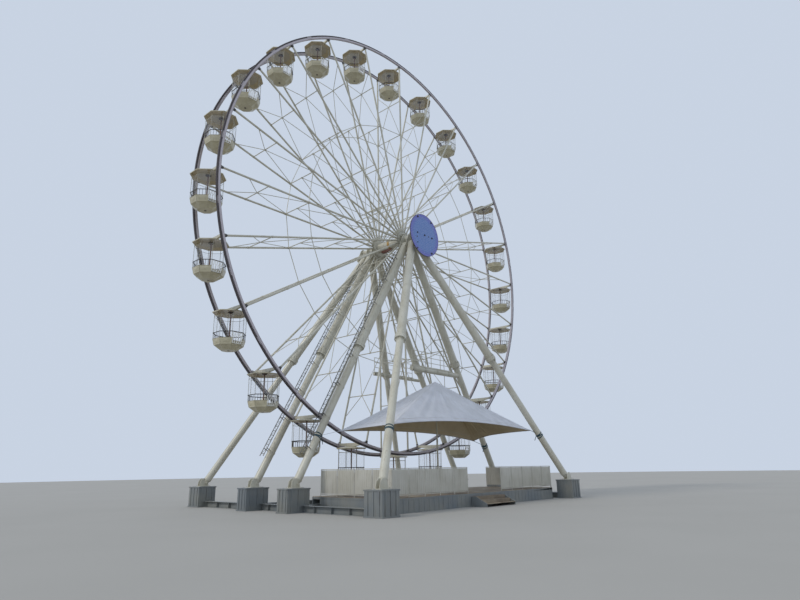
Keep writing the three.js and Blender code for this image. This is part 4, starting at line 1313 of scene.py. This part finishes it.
def tank_form(bm):
    """A tank under each foot, with ribs and two rims that stand out from its sides."""
    for node, point in FEET.items():
        half_x, half_y = TANK_HALVES[node.split("_")[0]]
        low, high = (point.x - half_x, point.y - half_y), (point.x + half_x, point.y + half_y)
        inset = 0.03
        block(bm, (low[0] + inset, low[1] + inset, 0), (high[0] - inset, high[1] - inset, TANK_TOP))
        for level in (0.0, TANK_TOP - TANK_RIM):
            block(bm, (*low, level), (*high, level + TANK_RIM))
        for share in (-0.6, 0.0, 0.6):
            x, y = point.x + half_x * share, point.y + half_y * share
            block(bm, (x - 0.04, low[1], TANK_RIM), (x + 0.04, high[1], TANK_TOP - TANK_RIM))
            block(bm, (low[0], y - 0.04, TANK_RIM), (high[0], y + 0.04, TANK_TOP - TANK_RIM))


lifting = []
for node, point in FEET.items():
    reach = TANK_HALVES[node.split("_")[0]][0] - 0.12
    lifting += [(point + Vector((side * reach, 0, 0)), (0, 0, 1), 0.03) for side in (-1, 1)]
ground = joined("ground", formed("beams", beams_form, BASE_GREY, 0.004),
                formed("tanks", tank_form, BASE_GREY, 0.006), bolts("lifting_bolts", lifting))
placed("ground_beams_and_tanks", ground, "support", "base_grey", "ground_frame")
print("ballast tanks", len(FEET))

# %% [markdown]
# ## Boarding deck and steps
# Plywood sheets lie on the deck's frame with narrow joints. Skirts close the frame on all four sides,
# with ribs along the front, and three steps lead up to the deck between two stringers.

# %% Deck sheets, skirts and steps
deck_low, deck_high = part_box("boarding_deck")
step_low, step_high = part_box("deck_steps")
SHEET_UNDER = deck_high.z - 0.021
SKIRT_END = -1.976  # where the ground beam crosses under the deck
SHEETS_ACROSS, SHEETS_DEEP, SHEET_GAP = 8, 5, 0.008
SKIRT_RIBS, GATEWAY_HALF, TREADS = 39, 1.55, 3


def deck_sheets(bm):
    wide, deep = (deck_high.x - deck_low.x) / SHEETS_ACROSS, (deck_high.y - deck_low.y) / SHEETS_DEEP
    joint = SHEET_GAP / 2
    for i in range(SHEETS_ACROSS):
        for j in range(SHEETS_DEEP):
            x, y = deck_low.x + wide * i, deck_low.y + deep * j
            block(bm, (x + joint, y + joint, SHEET_UNDER), (x + wide - joint, y + deep - joint, deck_high.z))


def deck_frame(bm):
    """The frame under the sheets, its skirts, and ribs on the front skirt beside the steps."""
    low, high, thick = deck_low, deck_high, 0.03
    block(bm, (low.x, low.y, SHEET_UNDER - 0.12), (high.x, high.y, SHEET_UNDER - 0.001))
    block(bm, (low.x, low.y, 0), (high.x, low.y + thick, SHEET_UNDER))
    block(bm, (low.x, high.y - thick, 0), (high.x, high.y, SHEET_UNDER))
    block(bm, (low.x, low.y, 0), (low.x + thick, SKIRT_END, SHEET_UNDER))
    block(bm, (high.x - thick, low.y, 0), (high.x, SKIRT_END, SHEET_UNDER))
    for x in (between(low.x, high.x, (i + 1) / (SKIRT_RIBS + 1)) for i in range(SKIRT_RIBS)):
        if abs(x) > GATEWAY_HALF:
            block(bm, (x - 0.02, low.y - 0.012, 0.03), (x + 0.02, low.y + 0.01, SHEET_UNDER - 0.03))


def steps_form(bm):
    """Treads, each with the riser behind it."""
    going, rise = (step_high.y - step_low.y) / TREADS, step_high.z / TREADS
    for i in range(TREADS):
        y, z = step_low.y + going * i, rise * (i + 1)
        top = z + rise - 0.03 if i < TREADS - 1 else z
        block(bm, (step_low.x + 0.05, y, z - 0.03), (step_high.x - 0.05, y + going, z))
        block(bm, (step_low.x + 0.05, y + going - 0.02, z - 0.03), (step_high.x - 0.05, y + going, top))


def stringers_form(bm):
    upright = Matrix(((0, 0, 1, 0), (1, 0, 0, 0), (0, 1, 0, 0), (0, 0, 0, 1)))
    outline = [(step_low.y, 0), (step_high.y, 0), (step_high.y, step_high.z),
               (step_high.y - 0.3, step_high.z), (step_low.y, step_high.z / TREADS)]
    for x in (step_low.x + 0.025, step_high.x - 0.025):
        plate(bm, outline, 0.05, Matrix.Translation((x, 0, 0)) @ upright)


deck = joined("deck", formed("sheets", deck_sheets, PLYWOOD, 0.002),
              formed("deck_frame", deck_frame, BASE_GREY, 0.003))
placed("deck_sheets", deck, "support", "deck_board", "boarding_deck")
steps = joined("steps", formed("treads", steps_form, PLYWOOD, 0.003),
               formed("stringers", stringers_form, BASE_GREY, 0.004))
placed("step_treads", steps, "support", "deck_board", "deck_steps")
print("deck sheets", SHEETS_ACROSS * SHEETS_DEEP)

# %% [markdown]
# ## Fence
# The fence round the deck is ivory sheet in frames of tube, with upright ribs pressed in the sheet.
# Every run is the same but for its length and direction, so one function makes a run from its node's
# box.

# %% Fence panels
FENCE_BAY, FENCE_TUBE, FENCE_RIBS = 1.25, 0.019, 8


def fence_piece(node):
    """A run of fence in the box of its node."""
    low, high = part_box(node)
    along = 0 if high.x - low.x > high.y - low.y else 1
    length, half = high[along] - low[along], FENCE_TUBE
    bays = max(1, round(length / FENCE_BAY))

    def point(distance, z, lift=0.0):
        """A place along the fence, lift metres in front of its middle."""
        spot = (low + high) / 2
        spot[along], spot[1 - along], spot.z = low[along] + distance, spot[1 - along] + lift, z
        return spot

    stops = [min(max(length * i / bays, half), length - half) for i in range(bays + 1)]
    bars = [(point(stop, low.z + 0.001), point(stop, high.z - half), half) for stop in stops]
    bars += [(point(half, z), point(length - half, z), half) for z in (low.z + 0.12, high.z - half)]

    def sheet_form(bm):
        for i in range(bays):
            start, end = length * i / bays + 0.04, length * (i + 1) / bays - 0.04
            block(bm, point(start, low.z + 0.16, -0.006), point(end, high.z - 0.06, 0.006))
            for at in (between(start, end, (k + 0.5) / FENCE_RIBS) for k in range(FENCE_RIBS)):
                block(bm, point(at - 0.018, low.z + 0.19, -0.016), point(at + 0.018, high.z - 0.09, 0.016))

    # The fence's darkened ivory is painted shade.
    mesh = joined(node, tubes("fence", bars, 8, SHADED_FENCE_IVORY),
                  formed("panels", sheet_form, SHADED_FENCE_IVORY, 0.003))
    placed(f"{node}_panels", mesh, "support", "fence_cream", node)
    print(node, "bays", bays)


for node in ("fence_front_left", "fence_front_right", "fence_left", "fence_right"):
    fence_piece(node)

# %% [markdown]
# ## Canopy
# The canopy is one sheet of coated canvas, hoisted on a mast and strapped to four legs. Its edges
# curve in between the corners, as the rope in the hem pulls them, and the cloth is straight from peak
# to hem. Cloth simulation would find such a form, but the solid already gives it by a rule, so the
# sheet is a fine grid over the same rule, with narrow tension folds that fan out from the peak.

# %% Canopy sheet
mast_low, mast_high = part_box("canopy_mast")
PEAK = Vector((0, (mast_low.y + mast_high.y) / 2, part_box("boarding_canopy")[1].z))
FRONT_Y, FRONT_HALF, BACK_Y, BACK_HALVES = -6.45, 7.05, -2.04, (6.8, 6.46)
CORNER_Z = {"front": (4.31, 4.47), "back": (4.17, 3.93)}
FRONT_RISE, BACK_RISE, SIDE_RISE = 0.37, 0.24, 0.07
FRONT_SAG, BACK_SAG, SIDE_SAG, CURVE = 0.18, 0.48, 0.57, 1.05
FOLD_DEPTH, COLUMNS, ROWS, CLOTH = 0.2, 160, 80, 0.003


def canopy_point(u, v):
    """The sheet's upper side, with u and v from -1 to 1, left to right and front to back."""
    front, back, left, right = (1 - v) / 2, (1 + v) / 2, (1 - u) / 2, (1 + u) / 2
    bow_u, bow_v = 1 - u * u, 1 - v * v
    x = u * (FRONT_HALF * front + BACK_HALVES[u > 0] * back - SIDE_SAG * bow_v)
    edge_y = FRONT_Y + FRONT_SAG * bow_u if v < 0 else BACK_Y - BACK_SAG * bow_u
    corners = sum(share * (left * ends[0] + right * ends[1])
                  for share, ends in zip((front, back), CORNER_Z.values()))
    edge = corners + bow_u * (front * FRONT_RISE + back * BACK_RISE) + bow_v * SIDE_RISE
    rise = (1 - max(abs(u), abs(v))) ** CURVE
    return Vector((x, PEAK.y + (edge_y - PEAK.y) * abs(v), edge + (PEAK.z - edge) * rise))


def cloth_point(u, v, lift=-0.006):
    """The same with narrow folds that fan out from the peak and fade at the hem."""
    reach, turn = max(abs(u), abs(v)), math.atan2(v, u)
    fan = math.sin(turn * 48) * 0.6 + math.sin(turn * 31 + 1.3) * 0.5
    return canopy_point(u, v) + Vector((0, 0, lift + FOLD_DEPTH * fan * reach * (1 - reach)))


bm = bmesh.new()
grid = [[bm.verts.new(cloth_point(2 * i / COLUMNS - 1, 2 * j / ROWS - 1)) for i in range(COLUMNS + 1)]
        for j in range(ROWS + 1)]
for j in range(ROWS):
    for i in range(COLUMNS):
        bm.faces.new((grid[j][i], grid[j][i + 1], grid[j + 1][i + 1], grid[j + 1][i]))
sheet_mesh = bpy.data.meshes.new("canopy")
bm.to_mesh(sheet_mesh)
sheet_area = sum(face.calc_area() for face in bm.faces)
bm.free()
sheet_mesh.materials.append(CANVAS)
# The underside's sand tint is painted light coming through the cloth.
sheet_mesh.materials.append(CANVAS_LIT_THROUGH)
sheet_mesh.shade_smooth()
canopy = placed("canopy_sheet", sheet_mesh, "support", "canvas", "boarding_canopy")
thicken = canopy.modifiers.new("cloth thickness", "SOLIDIFY")
thicken.thickness = CLOTH
thicken.material_offset = 1
print(f"canopy cloth {sheet_area:.1f} square metres")

# %% [markdown]
# A rope runs in the hem, a second line of stitching runs 0.3 m inside it, and four seams run from the
# corners towards the peak. Each is a row of points on the sheet's own rule, drawn as a thin tube.

# %% Hem and seams
def run_along(points, radius):
    return [(a, b, radius) for a, b in zip(points, points[1:])]


def round_the_peak(share, lift):
    """Four lines parallel to the hem, at a share of the way from the peak to it."""
    steps = [share * (i / 24 - 1) for i in range(49)]
    lines = [[cloth_point(step, v * share, lift) for step in steps] for v in (-1, 1)]
    return lines + [[cloth_point(u * share, step, lift) for step in steps] for u in (-1, 1)]


corner_lines = [[cloth_point(u * s / 24, v * s / 24, -0.002) for s in range(1, 25)]
                for u in (-1, 1) for v in (-1, 1)]
hem = tubes("hem", [bar for line in round_the_peak(1, -0.006) for bar in run_along(line, 0.016)], 6, CANVAS)
seams = tubes("seams", [bar for line in corner_lines + round_the_peak(0.92, -0.002)
                        for bar in run_along(line, 0.008)], 6, CANVAS)
stitching = tubes("stitching", [bar for line in round_the_peak(0.92, -0.012)
                                for bar in run_along(line, 0.008)], 6, CANVAS_LIT_THROUGH)
hem_piece = placed("canopy_hem", joined("hem_and_seams", hem, seams, stitching), "support", "canvas")

# %% [markdown]
# A pale canvas tongue is sewn to each corner. From it a dark strap runs to a leg, winds three times
# round it at a slant, and ends in a knot with its loose end hanging down.

# %% Mast, tongues and straps
MAST_LOWER, MAST_UPPER, MAST_JOINT, MAST_PLATE = 0.058, 0.046, 3.8, 0.2
STRAP_DROP, TONGUE_HALF, STRAP_HALF, TAIL_HALF, TAIL = 0.3, 0.05, 0.03, 0.025, 0.5
WINDS = ((-0.1, 9), (0.0, -7), (0.1, 8))  # each wind's place along the leg and its slant in degrees


def mast_form(bm):
    """Two lengths of tube, the upper one pointed, on a round plate."""
    foot = Matrix.Translation((PEAK.x, PEAK.y, 0))
    base, top = mast_low.z, mast_high.z
    tube = [(0, base), (MAST_LOWER, base), (MAST_LOWER, MAST_JOINT), (MAST_UPPER, MAST_JOINT + 0.02),
            (MAST_UPPER, top - 0.16), (0.0, top)]
    turned(bm, tube, foot, 24)
    plate_edge = [(0, base), (MAST_PLATE, base), (MAST_PLATE, base + 0.02), (0.07, base + 0.04),
                  (0, base + 0.04)]
    turned(bm, plate_edge, foot, 24)


placed("mast_tube", formed("mast", mast_form, CREAM, 0.002), "support", "cream_steel", "canopy_mast")


def corner_tie(leg, u, v):
    """The tongue, and the strap from a corner of the canopy to a place lower on a leg."""
    point = canopy_point(u, v)
    foot, _, along = leg_line(leg)
    centre = foot + along * ((point.z - STRAP_DROP - foot.z) / along.z)
    radius = LEG_LOWER + 0.004
    near = centre + (point - centre).normalized() * radius
    pull = (point - near).to_track_quat("Y", "Z").to_matrix().to_4x4()
    half = (point - near).length / 2

    def tongue_form(bm):
        block(bm, (-TONGUE_HALF, -0.1, -0.006), (TONGUE_HALF, 0.16, 0.006), Matrix.Translation(point) @ pull)

    def strap_form(bm):
        for lift, slant in WINDS:
            turn = facing(along, centre + along * lift) @ Matrix.Rotation(math.radians(slant), 4, "X")
            inner, outer = radius + 0.002, radius + 0.018
            turned(bm, [(inner, -0.035), (outer, -0.025), (outer, 0.025), (inner, 0.035)], turn, 28)
        middle = Matrix.Translation((near + point) / 2) @ pull
        block(bm, (-STRAP_HALF, -half, -0.005), (STRAP_HALF, half, 0.005), middle)
        turned(bm, [(0, -0.07), (0.05, -0.05), (0.065, 0), (0.05, 0.05), (0, 0.07)], facing(along, near), 12)
        end = Matrix.Translation(near) @ pull
        block(bm, (-TAIL_HALF, -0.008, -TAIL), (TAIL_HALF, 0.008, 0.02), end)

    return joined("tie", formed("tongue", tongue_form, CANVAS, 0.003),
                  formed("strap", strap_form, WEBBING, 0.002))


ties = joined(
    "ties", corner_tie("outrigger_front_left", -1, -1), corner_tie("outrigger_front_right", 1, -1),
    corner_tie("leg_front_left", -1, 1), corner_tie("leg_front_right", 1, 1))
placed("canopy_straps", ties, "support", "canvas")
print(f"mast {mast_high.z - mast_low.z:.2f} m long, ties {len(ties.polygons)} faces")

# %% [markdown]
# ## Stage and light
# The wheel stands on a pale floor under an even sky light, with one soft sun from the left that rounds
# the tubes.

# %% Floor and light
FLOOR_RADIUS = 160
floor_finish, tree, shader, place = blank_finish("pale floor", 0.85)
clouds = add(tree, "ShaderNodeTexNoise", {"Vector": place, "Scale": 0.17, "Detail": 3.0})
tint = add(tree, "ShaderNodeMix", {0: clouds, 6: srgb("adaaa3"), 7: srgb("a4a19a")}, data_type="RGBA")
feed(tree, shader, {"Base Color": tint})
bm = bmesh.new()
bmesh.ops.create_circle(bm, cap_ends=True, segments=96, radius=FLOOR_RADIUS)
floor_mesh = bpy.data.meshes.new("floor")
bm.to_mesh(floor_mesh)
bm.free()
floor_mesh.materials.append(floor_finish)
floor = bpy.data.objects.new("floor", floor_mesh)
bpy.context.scene.collection.objects.link(floor)

world = bpy.data.worlds.new("soft sky")
bpy.context.scene.world = world
world.use_nodes = True
feed(world.node_tree, world.node_tree.nodes["Background"], {"Color": srgb("cfdaea"), "Strength": 0.93})
bpy.context.scene.view_settings.view_transform = "Standard"

sun_data = bpy.data.lights.new("soft sun", "SUN")
sun_data.energy = 1.1
sun_data.angle = math.radians(12)
sun_data.color = (1.0, 0.96, 0.9)
sun = bpy.data.objects.new("soft sun", sun_data)
sun.rotation_euler = Vector((1.15, -0.35, -1.05)).to_track_quat("-Z", "Y").to_euler()
bpy.context.scene.collection.objects.link(sun)
print("sun from", tuple(round(math.degrees(turn)) for turn in sun.rotation_euler), "degrees")

# %% [markdown]
# ## Camera
# The camera stands where the photograph was taken: at eye level, left of the boarding side, looking up
# at the hub. Its place and its three turns were fitted to the ends of the spokes, and the focal length
# came out in pixels of a picture 800 wide, so it is turned to millimetres of the sensor here.

# %% Camera
YAW, PITCH, ROLL = math.radians(48.47), math.radians(16.35), math.radians(-0.90)
EYE = (-29.24, -26.71, 2.11)
SENSOR_MM, FOCAL_PX, PICTURE_PX = 36.0, 573.3, 800
lens_data = bpy.data.cameras.new("camera")
lens_data.sensor_width = SENSOR_MM
lens_data.lens = SENSOR_MM * FOCAL_PX / PICTURE_PX
lens_data.clip_end = 500
camera = bpy.data.objects.new("camera", lens_data)
forward = Vector((math.sin(YAW) * math.cos(PITCH), math.cos(YAW) * math.cos(PITCH), math.sin(PITCH)))
level = Vector((math.cos(YAW), -math.sin(YAW), 0))
upward = level.cross(forward)
right = level * math.cos(ROLL) + upward * math.sin(ROLL)
up = upward * math.cos(ROLL) - level * math.sin(ROLL)
aim = Matrix((right, up, -forward)).transposed().to_4x4()
camera.matrix_world = Matrix.Translation(EYE) @ aim
bpy.context.scene.collection.objects.link(camera)
bpy.context.scene.camera = camera
print(f"lens {lens_data.lens:.2f} mm")
